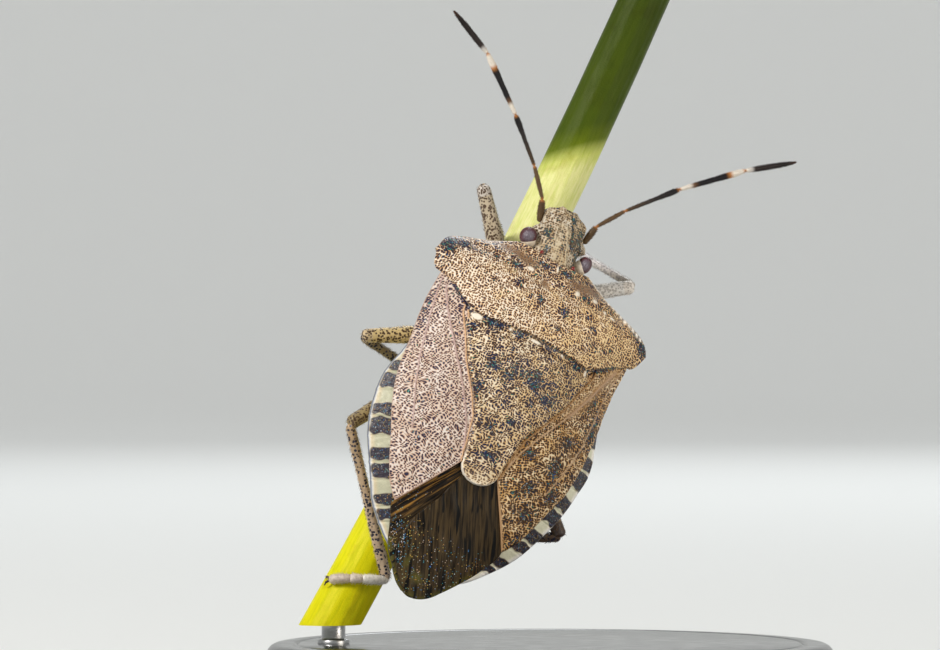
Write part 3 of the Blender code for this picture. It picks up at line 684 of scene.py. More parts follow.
def tinted(name, ink, cell, coverage, roughness, patchy=0.5, specular=0.5, fleck=0.0):
    """Cuticle coloured by its tint, with dark specks, and with glints of a fleck's strength where it is
    dark."""
    look, tree, shader = new_look(name, Specular_IOR_Level=specular)
    tint_here = attribute(tree, "tint", "Color")
    place = object_place(tree, 1.0 / cell)
    cells = add_node("ShaderNodeTexVoronoi", {"feature": "SMOOTH_F1"}, Vector=place, Scale=1.0,
                     Smoothness=0.25)
    reach = math_node("MULTIPLY_ADD", noise(place, 0.30, 3.0), patchy, coverage - patchy / 2)
    beyond = minus(cells.outputs["Distance"], reach)
    specks = times(fade(beyond, 0.08, -0.08), attribute(tree, "speckled", "Fac"))
    shade = blend_colours(noise(place, 0.5, 4.0, 0.6), (0.82, 0.80, 0.78), (1.15, 1.15, 1.15))
    colour = blend_colours(specks, blend_colours(1.0, tint_here, shade, "MULTIPLY"), ink)
    if fleck:
        away, chance, hue = flecks(object_place(tree, 17.0))
        in_dark = times(fade(split(tint_here)[0], 0.10, 0.03), fade(chance, 0.3, 0.6))
        bright = times(fade(away, 0.50, 0.20, 0.0, fleck), in_dark)
        colour = blend_colours(bright, colour, glint_hues(hue, LIT_HUES))
    set_inputs(shader, Base_Color=colour, Roughness=fade(specks, 0.0, 1.0, roughness, roughness - 0.1))
    add_bump(shader, minus(noise(object_place(tree), 22.0, 3.0), specks), depth=0.012)
    return look


def between(first, second, rows, columns):
    """Lattice of points from one line to another."""
    shares = np.linspace(0, 1, rows)
    a, b = walk(first, shares), walk(second, shares)
    return a[:, None] + (b - a)[:, None] * np.linspace(0, 1, columns)[None, :, None]


banded_cuticle = tinted("banded_cuticle", (0.012, 0.010, 0.026), cell=0.07, coverage=0.22, roughness=0.40,
                        fleck=0.55)
for side_name, sign in (("left", -1), ("right", 1)):
    plan = between(RIM_INNER, RIMS[side_name], 420, 44)
    x, y = plan[..., 0], plan[..., 1]
    ivory, cream = LIT_AND_SHADED_IVORIES[side_name], LIT_AND_SHADED_CREAMS[side_name]
    rim_y = y + (y[:, -1:] - y) * (side_name == "left")
    outer = edge_distances(plan)[3]
    wavy = rim_y + 0.025 * ripples(x, y, 41, 0.5)
    z = back_height(x, y) - RIM_DROP - edge_drop(outer, 0.10) + 0.006 * ripples(x, y, 42, 0.25)
    z = z - 0.14 * np.clip((-7.4 - y) / 0.5, 0, 1)
    black = np.zeros_like(x)
    for front, rear in RIM_CELLS[side_name]:
        half = (front - rear) / 2
        past_end = np.abs(wavy - (front + rear) / 2) - half + 0.10
        past_side = 0.10 - (outer + 0.012 * ripples(x, y, 43, 0.4) - RIM_MARGINS[side_name])
        beyond = np.hypot(np.maximum(past_end, 0), np.maximum(past_side, 0)) - 0.10
        black = np.maximum(black, np.clip(0.5 - beyond / 0.03, 0, 1))
        z = z - 0.045 * ridge(rim_y - rear + 0.05, 0.03)
    pale = tones(outer, RIM_LINES_AND_HIGHLIGHT[side_name] + ((0.20, ivory),))
    near_black = np.clip(1 - np.abs(black - 0.5) * 2, 0, 1)[..., None]
    pale = pale + (np.array(cream) - pale) * near_black
    # Painted light: the right rim turns brighter towards its rear, where it drops away.
    pale = pale * (1 + 0.22 * np.clip((-7.9 - y) / 0.5, 0, 1) * (sign > 0))[..., None]
    tint = pale + (np.array(BLACK) - pale) * black[..., None]
    points, faces = bare_shell(np.stack([x * sign, y, z], -1), depth=0.22, rows_below=80, columns_below=10)
    make_piece("rim_" + side_name, (to_row(points), faces), banded_cuticle, ["connexivum_" + side_name],
               {"tint": whole(tint, points, ivory), "speckled": whole(black * 0.8 + 0.1, points, 0.0)})

# Membranes: the thin rear third of each wing, like smoked film with fine ribs. The right one lies over the
# left one, and both pass under the tip of the scutellum and the ends of the coria.
MEMBRANE_SEAM = ((0.72, -5.60), (1.20, -6.30), (1.65, -6.96), (2.15, -7.70))
WING_EDGES = {
    "right": ((2.15, -7.70), (1.75, -8.60), (1.26, -9.28), (0.72, -9.92), (0.42, -10.24), (0.10, -10.44),
              (-0.14, -10.51)),
    "left": ((2.22, -7.70), (1.98, -8.35), (1.80, -8.85), (1.64, -9.20), (1.28, -9.68), (0.93, -10.14),
             (0.60, -10.40)),
}
WING_LAP = (
    (-0.45, -6.05), (-0.70, -6.60), (-0.84, -7.05), (-1.15, -7.60), (-1.42, -8.30), (-1.42, -9.10),
    (-1.13, -9.75), (-0.72, -10.22), (-0.32, -10.50),
)
FAN_CENTRES = {"right": (-9.0, 12.0), "left": (2.5, -1.5)}
FILM_DROPS = {"right": 0.10, "left": 0.22}
FILM_RIB_PITCH = 0.42


def line_distance(x, y, line):
    """Distance from many points to a line of straight pieces."""
    nearest = np.full(x.shape, 1e9)
    for (ax, ay), (bx, by) in zip(line, line[1:]):
        dx, dy = bx - ax, by - ay
        t = np.clip(((x - ax) * dx + (y - ay) * dy) / (dx * dx + dy * dy), 0, 1)
        nearest = np.minimum(nearest, np.hypot(x - ax - t * dx, y - ay - t * dy))
    return nearest


def spots(x, y, marks):
    """Sum of soft round marks."""
    total = np.zeros_like(x)
    for mx, my, across, length, strength in marks:
        total += strength * np.exp(-((x - mx) / across)**2 - ((y - my) / length)**2)
    return total


def smoked_film():
    """Smoked film with fine lengthwise ribs, dark strokes and small glints."""
    look, tree, shader = new_look("smoked_film", Specular_IOR_Level=0.14)
    fan = attribute(tree, "fan")
    golden, glinting, clear = split(attribute(tree, "marks"))
    ribs = noise(stretched(fan, (12.0, 0.7, 1.0)), 1.0, 4.0, 0.6)
    strokes = noise(stretched(fan, (6.0, 0.8, 1.0), (3.1, 0.4, 0.0)), 1.0, 1.0)
    colour = blend_colours(fade(ribs, 0.35, 0.66), (0.010, 0.006, 0.003), (0.070, 0.045, 0.019))
    gold = blend_colours(fade(ribs, 0.46, 0.66), (0.012, 0.007, 0.004), (0.30, 0.15, 0.03))
    # Clear places turn dim yellow-green: the translucent rim of the tip, and a painted highlight near it.
    colour = blend_colours(clear, blend_colours(golden, colour, gold), (0.085, 0.075, 0.015))
    colour = blend_colours(fade(strokes, 0.60, 0.64), colour, (0.002, 0.002, 0.002))
    away, chance, hue = flecks(object_place(tree, 15.0))
    often = math_node("MULTIPLY_ADD", chance, 0.5, plus(noise(object_place(tree), 4.0), glinting))
    bright = times(fade(away, 0.34, 0.16), fade(often, 1.12, 1.28))
    set_inputs(shader, Base_Color=blend_colours(bright, colour, glint_hues(hue, LIT_HUES)),
               Roughness=fade(ribs, 0.3, 0.7, 0.30, 0.45))
    add_bump(shader, minus(ribs, strokes), depth=0.02, strength=0.7)
    return look


smoked = smoked_film()
for side_name, sign in (("right", 1), ("left", -1)):
    outer_line = ((0.55, -5.35),) + MEMBRANE_SEAM[:-1] + WING_EDGES[side_name]
    if side_name == "right":
        inner_line = WING_LAP
    else:
        inner_line = tuple((-px - 0.45 * min(1.0, (-5.3 - py) / 1.2), max(py, -10.34))
                           for px, py in WING_LAP)
    plan = between(((-0.25, -5.35),) + inner_line, outer_line, 300, 150) * (sign, 1)
    down, across = np.meshgrid(np.linspace(0, 1, 300), np.linspace(0, 1, 150), indexing="ij")
    plan[..., 1] -= 0.13 * np.sin(math.pi * across) * down**16 * (side_name == "left")
    x, y = plan[..., 0], plan[..., 1]
    front, rear, inner, outer = edge_distances(plan)
    from_x, from_y = x - FAN_CENTRES[side_name][0], y - FAN_CENTRES[side_name][1]
    radius = np.hypot(from_x, from_y)
    fan = np.stack([np.arctan2(from_x, -from_y) * radius.mean(), radius, 0 * x], -1)
    ribs = np.sin(fan[..., 0] * 2 * math.pi / FILM_RIB_PITCH + 1.2 * ripples(x, y, 51, 1.5))
    z = back_height(x, y) - FILM_DROPS[side_name]
    z = z + 0.012 * ribs + 0.020 * ripples(x, y, 52, 1.6) - edge_drop(inner, 0.05) - edge_drop(outer, 0.04)
    from_seam = line_distance(-x, y, MEMBRANE_SEAM)
    golden = (ridge(from_seam - 0.25, 0.30) * (x < -0.5) * 1.1 * (side_name == "left")
              + spots(x, y, ((1.5, -8.6, 0.20, 0.25, 0.7), (-1.7, -8.0, 0.30, 0.4, 0.3))))
    glinting = np.clip((-7.9 - y) / 1.2, 0, 0.42) + 0.40 * ridge(x + 1.9, 0.7) * (y < -7.0)
    # Clear marks: two spots of painted highlight near the tip, and the translucent rim along the tip.
    clear = spots(x, y, ((-0.35, -9.85, 0.22, 0.16, 1.0), (-0.9, -9.5, 0.12, 0.2, 0.8)))
    clear = clear + ridge(np.minimum(outer, rear), 0.16) * (y < -8.9) * 0.9
    marks = np.clip(np.stack([golden, glinting, clear], -1), 0, 1)
    points, faces = bare_shell(np.stack([x, y, z], -1), depth=0.06, rows_below=60, columns_below=24)
    fields = {"fan": whole(fan, points, points[x.size:]), "marks": whole(marks, points, 0.0)}
    make_piece("wing_film_" + side_name, (to_row(points), faces), smoked, ["membrane_" + side_name],
               fields)

# Coria: the leathery front two thirds of the folded wings, hinged at the thorax. A smooth suture sets off
# the strip beside the scutellum, a vein runs down the middle, and a golden rim follows the scutellum. The
# left one is painted pinkish white as lit, the right golden as shaded, and both dark as shade under the
# pronotum.
SCUTELLUM_SIDE = (
    (2.62, -0.55), (2.62, -0.80), (2.35, -1.40), (1.94, -2.43), (1.35, -3.40), (0.98, -4.10), (0.80, -5.0),
    (0.72, -5.60),
)
COSTAS = {
    "left": ((3.78, 0.60), (3.80, 0.20), (3.80, -1.0), (3.80, -2.40), (3.82, -3.10), (3.76, -3.85),
             (3.50, -4.90), (3.20, -5.70), (2.98, -6.30), (2.45, -7.40), (2.16, -7.74)),
    "right": ((3.82, 0.60), (3.90, 0.20), (3.95, -1.0), (3.94, -2.20), (3.86, -3.10), (3.77, -3.90),
              (3.56, -4.90), (3.22, -5.70), (2.98, -6.30), (2.42, -7.40), (2.13, -7.74)),
}
CLAVAL_SUTURE = (
    (3.50, -0.15), (2.95, -1.30), (2.42, -2.30), (1.98, -3.00), (1.50, -3.80), (1.12, -4.50),
    (0.86, -5.30),
)
MIDDLE_VEIN = (
    (3.72, 0.05), (3.57, -1.0), (3.48, -2.0), (3.38, -3.0), (3.18, -3.9), (2.92, -4.7), (2.72, -5.3),
)
# Dark patches, here and on the shields below, as (x, y, radius across, radius along, strength).
CORIUM_PATCHES = {
    "left": ((-2.45, -5.5, 0.30, 0.25, 0.25), (-3.7, -1.0, 0.12, 0.8, 0.5), (-2.75, -0.75, 0.16, 0.35, 0.5)),
    "right": ((2.60, -4.40, 0.24, 0.40, 0.9), (1.40, -4.40, 0.26, 0.18, 0.9), (2.75, -3.30, 0.35, 0.30, 0.6),
              (2.00, -5.40, 0.26, 0.22, 0.8), (2.30, -6.30, 0.30, 0.30, 0.8), (2.95, -5.2, 0.25, 0.4, 0.6),
              (1.55, -5.85, 0.20, 0.20, 0.6), (3.55, -2.3, 0.25, 0.6, 0.7), (3.1, -1.6, 0.2, 0.5, 0.6),
              (1.2, -3.7, 0.16, 0.4, 0.5), (2.35, -7.2, 0.2, 0.25, 0.6)),
}
PIT_DEPTH = 0.022
PIT_WARP = 0.035
CORIUM_RUNNING = {"left": 0.01, "right": 0.06}
# Lit and shaded copies of one cuticle: painted light on the left corium, pinkish white, and painted shade on
# the right, golden.
LIT_AND_SHADED_CORIUM_LOOKS = {
    "left": cuticle("pale_lit_corium", (0.78, 0.71, 0.66), (0.66, 0.52, 0.42), (0.46, 0.27, 0.17),
                    ((0.036, 0.020, 0.042), (0.020, 0.020, 0.055)), coverage=0.0, mottle=0.28,
                    scar=(0.66, 0.40, 0.20), bare=(0.46, 0.30, 0.28), running=CORIUM_RUNNING["left"]),
    "right": cuticle("brown_shaded_corium", (0.95, 0.82, 0.58), (0.66, 0.42, 0.16), (0.42, 0.18, 0.025),
                     ((0.050, 0.022, 0.010), (0.024, 0.014, 0.014)), coverage=0.07, mottle=0.54,
                     scar=(0.46, 0.25, 0.10), bare=(0.50, 0.31, 0.18), running=CORIUM_RUNNING["right"]),
}


def plate(name, plan, lift, marks, look, node, rounding, depth, running, turn=0.0):
    """A shield plate or wing laid on the back. marks are its bare, dark and scarred places, and rounding
    the radii of its front, rear, left and right edge."""
    x, y = plan[..., 0], plan[..., 1]
    z = back_height(x, y) + lift
    for distance, radius in zip(edge_distances(plan), rounding):
        if radius:
            z = z - edge_drop(distance, radius)
    points, faces = bare_shell(np.stack([x, y, z], -1), depth)
    drift = np.stack([ripples(x, y, seed, 0.5) for seed in (5, 6, 7)], -1) * PIT_WARP
    stretch = 1 - 0.22 * np.clip((-2.5 - y) / 2.0, 0, 1)
    spread = np.stack([(x * math.cos(turn) + y * math.sin(turn)) * stretch,
                       (y * math.cos(turn) - x * math.sin(turn)) * 1.08, 0 * x], -1) + drift
    fields = {"plan": whole(spread, points, points[x.size:]),
              "marks": whole(np.stack(marks, -1), points, (1.0, 0.0, 0.4))}
    make_piece(name, (to_row(points), faces), look, [node], fields,
               [(flat_pits, {"Depth": PIT_DEPTH * MM, "Running": running})])


flat_pits = pit_tree("2D")
for side_name, sign in (("left", -1), ("right", 1)):
    inner = [(2.56, -0.50)] + [(px - 0.06, py) for px, py in SCUTELLUM_SIDE[2:]]
    plan = between(inner, COSTAS[side_name], 350, 125)
    x, y = plan[..., 0], plan[..., 1]
    # Painted shade: the front strip that slips under the pronotum is sunk, loses its pale marks and is
    # darkened.
    tucked_in_painted_shade = np.clip(1 - edge_distances(plan)[0] / 0.35, 0, 1)
    suture = line_distance(x, y, CLAVAL_SUTURE)
    vein = line_distance(x, y, MIDDLE_VEIN)
    from_scutellum = line_distance(x, y, SCUTELLUM_SIDE)
    wide = 0.9 + 0.1 * (side_name == "right")
    vein_marks = ridge(suture, 0.035 * wide) + ridge(vein, 0.030 * wide)
    golden = ridge(from_scutellum - 0.075, 0.035)
    seam_side = ridge(edge_distances(plan)[1], 0.05)
    lift = -0.06 + 0.05 * golden + 0.028 * vein_marks - 0.03 * ridge(suture - 0.09, 0.04)
    lift = lift + 0.05 * np.clip(from_scutellum / 0.6, 0, 1) + 0.014 * ripples(x, y, 31, 0.8) - 0.12 * tucked_in_painted_shade
    streak = 0.55 * ridge(suture - 0.05, 0.16) * (y > -2.6) * (side_name == "right")
    plan = plan * (sign, 1)
    x = plan[..., 0]
    marks = (np.clip(vein_marks + golden + seam_side + streak, 0, 1) * (tucked_in_painted_shade < 0.2),
             np.clip(spots(x, y, CORIUM_PATCHES[side_name]) + 2 * tucked_in_painted_shade, 0, 1.3),
             np.clip(golden + 0.5 * seam_side, 0, 1))
    plate("corium_" + side_name + "_wing", plan, lift, marks, LIT_AND_SHADED_CORIUM_LOOKS[side_name],
          "corium_" + side_name,
          (0.06, 0.05, 0.0, 0.12), depth=0.14, turn=sign * 0.35, running=CORIUM_RUNNING[side_name])

# Scutellum: the large triangular shield behind the pronotum, of the same pitted cuticle, grown on the
# thorax and free at its rounded rear tip. Five smooth ivory spots lie along its front edge, and a painted
# shadow line runs along that edge under the pronotum's rear edge.
SCUTELLUM_TIP = -6.19
IVORY_SPOTS = (
    (-2.22, -0.84, 0.20, 0.13, 1.6), (0.0, -0.80, 0.24, 0.07, 1.4), (2.26, -0.88, 0.07, 0.16, 1.3),
    (-1.02, -0.82, 0.09, 0.08, 1.1), (1.10, -0.80, 0.10, 0.08, 1.1),
)
SCUTELLUM_PATCHES = (
    (-1.65, -0.86, 0.34, 0.12, 1.2), (-0.65, -0.86, 0.20, 0.09, 0.9), (0.48, -0.88, 0.26, 0.10, 0.9),
    (1.75, -0.86, 0.26, 0.10, 0.8), (-1.15, -2.25, 0.20, 0.14, 0.8), (-0.45, -2.32, 0.20, 0.16, 0.8),
    (0.52, -1.85, 0.14, 0.14, 0.9), (0.48, -2.25, 0.22, 0.18, 0.9), (0.68, -2.90, 0.14, 0.14, 0.9),
    (-1.40, -3.20, 0.16, 0.30, 0.7), (0.0, -2.05, 1.4, 0.30, 0.35), (1.25, -2.50, 0.35, 0.25, 0.6),
    (0.30, -3.80, 0.18, 0.16, 0.6), (-0.45, -4.25, 0.30, 0.16, 0.5), (0.05, -5.15, 0.30, 0.16, 0.7),
    (-2.25, -1.25, 0.12, 0.25, 0.6),
)
sides = walk(SCUTELLUM_SIDE, np.linspace(0, 1, 200))
tip_width, tip_shoulder = SCUTELLUM_SIDE[-1]
turns = np.radians(np.linspace(6, 88, 26))
tip_y = tip_shoulder + (SCUTELLUM_TIP - tip_shoulder) * np.sin(turns)
sides = np.concatenate([sides, np.stack([tip_width * np.cos(turns), tip_y], -1)])
t = np.linspace(-1, 1, 190)
x = sides[:, :1] * t
y = np.repeat(sides[:, 1:], t.size, 1)
margin = (1 - np.abs(t)) * sides[:, :1]
ivory = np.clip(spots(x, y, IVORY_SPOTS) * 1.6 - 0.5, 0, 1)
from_edge = np.minimum(margin, np.abs(y - SCUTELLUM_TIP))
tip_rim = ridge(from_edge, 0.035) * np.clip((-4.9 - y) / 0.6, 0, 1)
tip_fade = np.clip((-5.55 - y) / 0.5, 0, 1)
lift = 0.05 + 0.03 * ivory + 0.014 * ripples(x, y, 21, 0.7) - 0.05 * ridge(x, 0.5) * (y > -2.5)
lift = lift - 0.13 * np.clip((y + 1.15) / 0.3, 0, 1)
# Painted shadow: a dark line along the front, under the pronotum's rear edge.
painted_shadow_under_pronotum = 0.5 * ridge(y + 0.74, 0.04)
marks = (np.clip(ivory + tip_rim + 0.22 * tip_fade, 0, 1),
         np.clip(spots(x, y, SCUTELLUM_PATCHES) + painted_shadow_under_pronotum, 0, 1.3) - 0.2 * tip_fade, 0 * x)
# Painted light and shade: the ground turns paler towards the bug's left and more golden towards its right.
scutellum_cuticle = cuticle("scutellum_cuticle", (0.88, 0.78, 0.61), (0.70, 0.52, 0.28), (0.46, 0.26, 0.10),
                            ((0.034, 0.020, 0.022), (0.012, 0.017, 0.050)), coverage=0.07, mottle=0.54,
                            running=0.02, painted_light_tilt=0.08)
plate("scutellum_shield", np.stack([x, y], -1), lift, marks, scutellum_cuticle, "scutellum",
      (0.0, 0.04, 0.10, 0.10), depth=0.25, running=0.03)

# Pronotum: the broad saddle-shaped shield behind the head, of hard cuticle, grown in one piece. Its front
# side margins are finely toothed, two smooth brown scars lie behind the head, and dark pits cover the rest.
PRONOTUM_SIDE = ((1.42, 2.70), (2.36, 2.27), (3.38, 1.90), (4.02, 1.52), (4.34, 0.90))
PRONOTUM_FRONT = 2.45
PRONOTUM_REAR = (
    (0.0, -0.66), (1.2, -0.71), (2.3, -0.66), (2.80, -0.40), (3.25, -0.08), (3.72, 0.17), (4.22, 0.55),
    (4.34, 0.90),
)
TEETH_PITCH = 0.115
TEETH_HEIGHT = 0.035
BEAD_PITCH = 0.2
SCARS = ((-1.75, 2.15, 0.38, 0.16, 1.0), (-1.15, 1.98, 0.40, 0.18, 1.0), (1.0, 1.93, 0.42, 0.17, 1.0),
         (1.6, 2.1, 0.38, 0.17, 1.0), (-0.33, 1.40, 0.16, 0.18, 0.8))
CALLUSES = (
    (-1.0, 1.65, 0.17, 0.11, 1.0), (0.95, 1.63, 0.13, 0.13, 1.0), (1.70, 1.72, 0.13, 0.10, 1.0),
    (2.2, 1.52, 0.10, 0.10, 0.9), (2.55, 1.45, 0.14, 0.10, 0.9), (-1.85, 1.72, 0.10, 0.08, 0.8),
    (0.0, 2.15, 0.06, 0.22, 0.9), (-2.45, 1.55, 0.10, 0.08, 0.7),
)
DARK_PATCHES = (
    (-0.40, 0.66, 0.14, 0.24, 1.0), (0.58, 0.66, 0.20, 0.20, 1.1), (1.88, 0.60, 0.14, 0.14, 0.8),
    (-1.42, 0.85, 0.14, 0.12, 0.8), (-1.22, 1.05, 0.16, 0.08, 0.8), (1.55, 0.95, 0.17, 0.14, 0.7),
    (0.55, -0.02, 0.12, 0.11, 0.8), (2.10, 0.10, 0.13, 0.12, 0.8), (2.62, 0.12, 0.11, 0.10, 0.7),
    (-0.75, 0.70, 0.05, 0.16, 0.7), (-1.50, 1.60, 0.20, 0.12, 1.0), (1.32, 1.62, 0.20, 0.12, 0.9),
    (-0.52, 2.08, 0.20, 0.10, 0.9), (0.38, 2.12, 0.20, 0.12, 0.9), (-2.2, 0.62, 0.18, 0.12, 0.5),
    (-0.05, 0.35, 0.10, 0.08, 0.5), (2.9, 1.30, 0.25, 0.12, 0.5), (-3.3, 1.45, 0.6, 0.15, 0.5),
    (4.05, 1.15, 0.28, 0.32, 1.2), (3.75, 1.45, 0.25, 0.15, 1.0), (-4.0, 1.2, 0.32, 0.3, 1.0),
    (-3.6, 1.5, 0.3, 0.16, 0.5),
)

tip_x, tip_y = PRONOTUM_REAR[-1]
rear_middle = PRONOTUM_REAR[0][1]
s, t = np.meshgrid(np.linspace(0, 1, 165), np.linspace(-1, 1, 430), indexing="ij")
side = walk(PRONOTUM_SIDE, s[:, 0])
side_length = np.cumsum(np.pad(np.linalg.norm(np.diff(side, axis=0), axis=-1), (1, 0)))
teeth = np.abs((side_length / TEETH_PITCH) % 1.0 - 0.5) * 2 * TEETH_HEIGHT
teeth = teeth * np.clip(side_length / 0.3, 0, 1) * np.clip((side_length[-1] - 0.7 - side_length) / 0.3, 0, 1)
middle_y = PRONOTUM_FRONT + (rear_middle - PRONOTUM_FRONT) * s
rear_bend = (along(PRONOTUM_REAR, tip_x * np.abs(t)) - rear_middle) / (tip_y - rear_middle)
front_bend = np.abs(t)**(2 + 6 * s)
bend = front_bend * (1 - s) + rear_bend * s
x = (side[:, :1] + teeth[:, None] * np.abs(t)**30) * t
y = middle_y + (side[:, 1:] - middle_y) * bend
margin = (1 - np.abs(t)) * side[:, :1]
scar_marks = np.clip(spots(x, y, SCARS) * 1.4, 0, 1)
callus_marks = np.clip(spots(x, y, CALLUSES) * 1.8 - 0.4, 0, 1)
beads = 0.6 + 0.4 * np.cos(2 * math.pi * side_length / BEAD_PITCH)[:, None]
edge_line = np.where(x > 0, 1.5 * beads * ridge(margin - 0.075, 0.05), ridge(margin, 0.02))
edge_line = edge_line * (y > 1.25) * (x > -3.0)
rear_rim = ridge(edge_distances(np.stack([x, y], -1))[1], 0.025) * (np.abs(x) < 3.6)
front_shade = 0.30 * np.clip((y - 1.25) / 0.4, 0, 1) + 0.2 * np.clip((np.abs(x) - 3.6) / 0.4, 0, 1)
lift = 0.05 + 0.035 * callus_marks - 0.05 * scar_marks + 0.012 * ripples(x, y, 11, 0.9)
lift -= 0.10 * ridge(y - 1.35 - 0.10 * np.abs(x), 0.22) * (np.abs(x) < 3.2)
lift += 0.035 * edge_line * (x > 0)
marks = (np.clip(callus_marks + edge_line + 0.35 * scar_marks, 0, 1),
         np.clip(spots(x, y, DARK_PATCHES) + front_shade + 0.5 * rear_rim, 0, 1.4), 0.95 * scar_marks)
# Painted light and shade: the ground turns paler towards the bug's left and more golden towards its right.
brown_cuticle = cuticle("pronotum_cuticle", (0.90, 0.81, 0.68), (0.88, 0.66, 0.37), (0.55, 0.29, 0.10),
                        ((0.044, 0.020, 0.026), (0.020, 0.015, 0.036)), coverage=0.005, mottle=0.42,
                        scar=(0.13, 0.085, 0.065), running=0.01, painted_light_tilt=0.06)
plate("pronotum_shield", np.stack([x, y], -1), lift, marks, brown_cuticle, "pronotum",
      (0.10, 0.09, 0.08, 0.08), depth=0.3, running=0.02)

# Head: a flat, long plate with two narrow side lobes and a middle one that reach equally far forward. It is
# pitted cuticle, set into the front of the pronotum, with two small red simple eyes near its rear edge.
HEAD_SIDE = (
    (0.93, 2.40), (0.86, 2.70), (0.80, 3.0), (0.86, 3.28), (1.04, 3.42), (1.03, 3.56), (0.88, 3.72),
    (0.80, 3.90), (0.83, 4.15), (0.78, 4.42), (0.56, 4.58), (0.36, 4.66),
)
HEAD_TOP = ((2.4, 1.06), (3.1, 0.98), (3.7, 0.76), (4.2, 0.52), (4.7, 0.32))
HEAD_SIDE_TOP = ((2.4, 0.56), (3.3, 0.45), (4.0, 0.30), (4.7, 0.18))
HEAD_UNDERSIDE = ((2.4, -0.95), (3.3, -0.80), (4.0, -0.50), (4.7, -0.18))
HEAD_RIM = 0.3
LOBE_GROOVES = (
    ((-0.09, 4.70), (-0.20, 4.2), (-0.27, 3.7), (-0.30, 3.2)),
    ((0.09, 4.70), (0.20, 4.2), (0.27, 3.7), (0.30, 3.2)),
)
HEAD_RIDGE = ((0.0, 3.9), (0.15, 3.0), (0.3, 2.5))
HEAD_PATCHES = (
    (0.35, 3.3, 0.14, 0.22, 0.9), (-0.60, 3.4, 0.16, 0.22, 0.8), (0.0, 3.2, 0.12, 0.4, 0.5),
    (-0.5, 2.8, 0.14, 0.2, 0.6), (0.65, 2.9, 0.14, 0.25, 0.7), (0.25, 4.3, 0.12, 0.22, 0.6),
    (-0.35, 4.2, 0.12, 0.22, 0.5), (0.6, 3.9, 0.12, 0.3, 0.6), (0.55, 3.55, 0.16, 0.3, 0.7),
    (0.74, 3.2, 0.10, 0.25, 0.7),
)
HEAD_PALE = (
    (-0.20, 3.1, 0.10, 0.65, 0.7), (-0.85, 3.05, 0.10, 0.12, 0.9), (-0.15, 4.6, 0.10, 0.08, 0.7),
    (-1.00, 2.75, 0.10, 0.18, 0.9), (1.00, 2.75, 0.10, 0.18, 0.9), (-0.75, 4.4, 0.05, 0.25, 0.7),
)
OCELLI = (0.65, 2.57)
OCELLUS_RADII = (0.075, 0.085, 0.075)

shares = np.linspace(0, 1, 210)
outline = walk(HEAD_SIDE, shares)
turns = np.linspace(0, 2 * math.pi, 240, endpoint=False)
flat = np.cos(turns)
half = np.repeat(outline[:, :1], turns.size, 1)
y = np.repeat(outline[:, 1:], turns.size, 1)
x = half * flat
front_fall = np.sqrt(np.clip(1 - np.clip((shares - 0.93) / 0.07, 0, 1)**2, 0.02, 1))[:, None]
side_z = along(HEAD_SIDE_TOP, y)
round_up = 1 - np.abs(flat)**2.3
above = side_z + (along(HEAD_TOP, y) - side_z) * round_up * front_fall
below = side_z - HEAD_RIM * front_fall
below = below + (along(HEAD_UNDERSIDE, y) - side_z + HEAD_RIM) * round_up * front_fall
upper = np.clip(np.sin(turns) * 12, -1, 1)[None] * 0.5 + 0.5
z = below + (above - below) * upper
on_top = upper > 0.5
at_front = np.clip((shares - 0.80) / 0.2, 0, 1)[:, None]
y = y + 0.14 * at_front * (ridge(np.abs(x) - 0.24, 0.16) - 0.55)
for groove in LOBE_GROOVES:
    z = z - 0.055 * ridge(line_distance(x, y, groove), 0.035) * on_top
z = z + 0.03 * ridge(line_distance(x, y, HEAD_RIDGE), 0.05) * on_top
z = z + 0.05 * ridge(np.abs(x) - half + 0.05, 0.05) * on_top * (y > 3.6)
z = z + 0.015 * ripples(x, y, 61, 0.5) * on_top
pale = np.clip(spots(x, y, HEAD_PALE) + ridge(line_distance(x, y, HEAD_RIDGE), 0.035), 0, 1)
rings = np.stack([x, y, z], -1)
points, faces = loft(rings)
shade = spots(x, y, HEAD_PATCHES) + 0.8 * ridge(line_distance(x, y, LOBE_GROOVES[1]), 0.06)
marks = np.stack([pale * 0.9, np.clip(shade, 0, 1.1), 0 * x], -1)
head_cuticle = cuticle("head_cuticle", (0.66, 0.60, 0.50), (0.52, 0.42, 0.27), (0.36, 0.23, 0.11),
                       ((0.090, 0.060, 0.040), (0.040, 0.055, 0.055)), coverage=0.06, mottle=0.42,
                       bare=(0.66, 0.54, 0.36), dimensions="3D", glint=1.0, running=0.05)
make_piece("head_shell", (to_row(points), faces), head_cuticle, ["head"],
           {"plan": points, "marks": marks.reshape(-1, 3)},
           [(deep_pits, {"Depth": 0.020 * MM, "Running": 0.08})])


def ball(centre, radii, rows, sides):
    """Rings of points of a rounded form with its own radius each way."""
    angles = np.linspace(0.03, math.pi - 0.03, rows)
    turns = np.linspace(0, 2 * math.pi, sides, endpoint=False)
    a, b = np.meshgrid(angles, turns, indexing="ij")
    directions = np.stack([np.sin(a) * np.cos(b), np.sin(a) * np.sin(b), np.cos(a)], -1)
    return np.array(centre) + directions * np.array(radii)


def on_bug(skin):
    """A skin of the bug's frame in the model's."""
    points, faces = skin
    return to_row(points), faces


look, tree, shader = new_look("red_bead", Roughness=0.12, Coat_Weight=0.5)
colour = blend_colours(noise(object_place(tree), 9.0), (0.30, 0.03, 0.02), (0.16, 0.01, 0.01))
set_inputs(shader, Base_Color=colour)
for side_name, sign in (("left", -1), ("right", 1)):
    height = float(along(HEAD_TOP, OCELLI[1])) - 0.12
    bead = loft(ball((sign * OCELLI[0], OCELLI[1], height), OCELLUS_RADII, rows=20, sides=24))
    make_piece("simple_eye_" + side_name, on_bug(bead), look, ["head"])

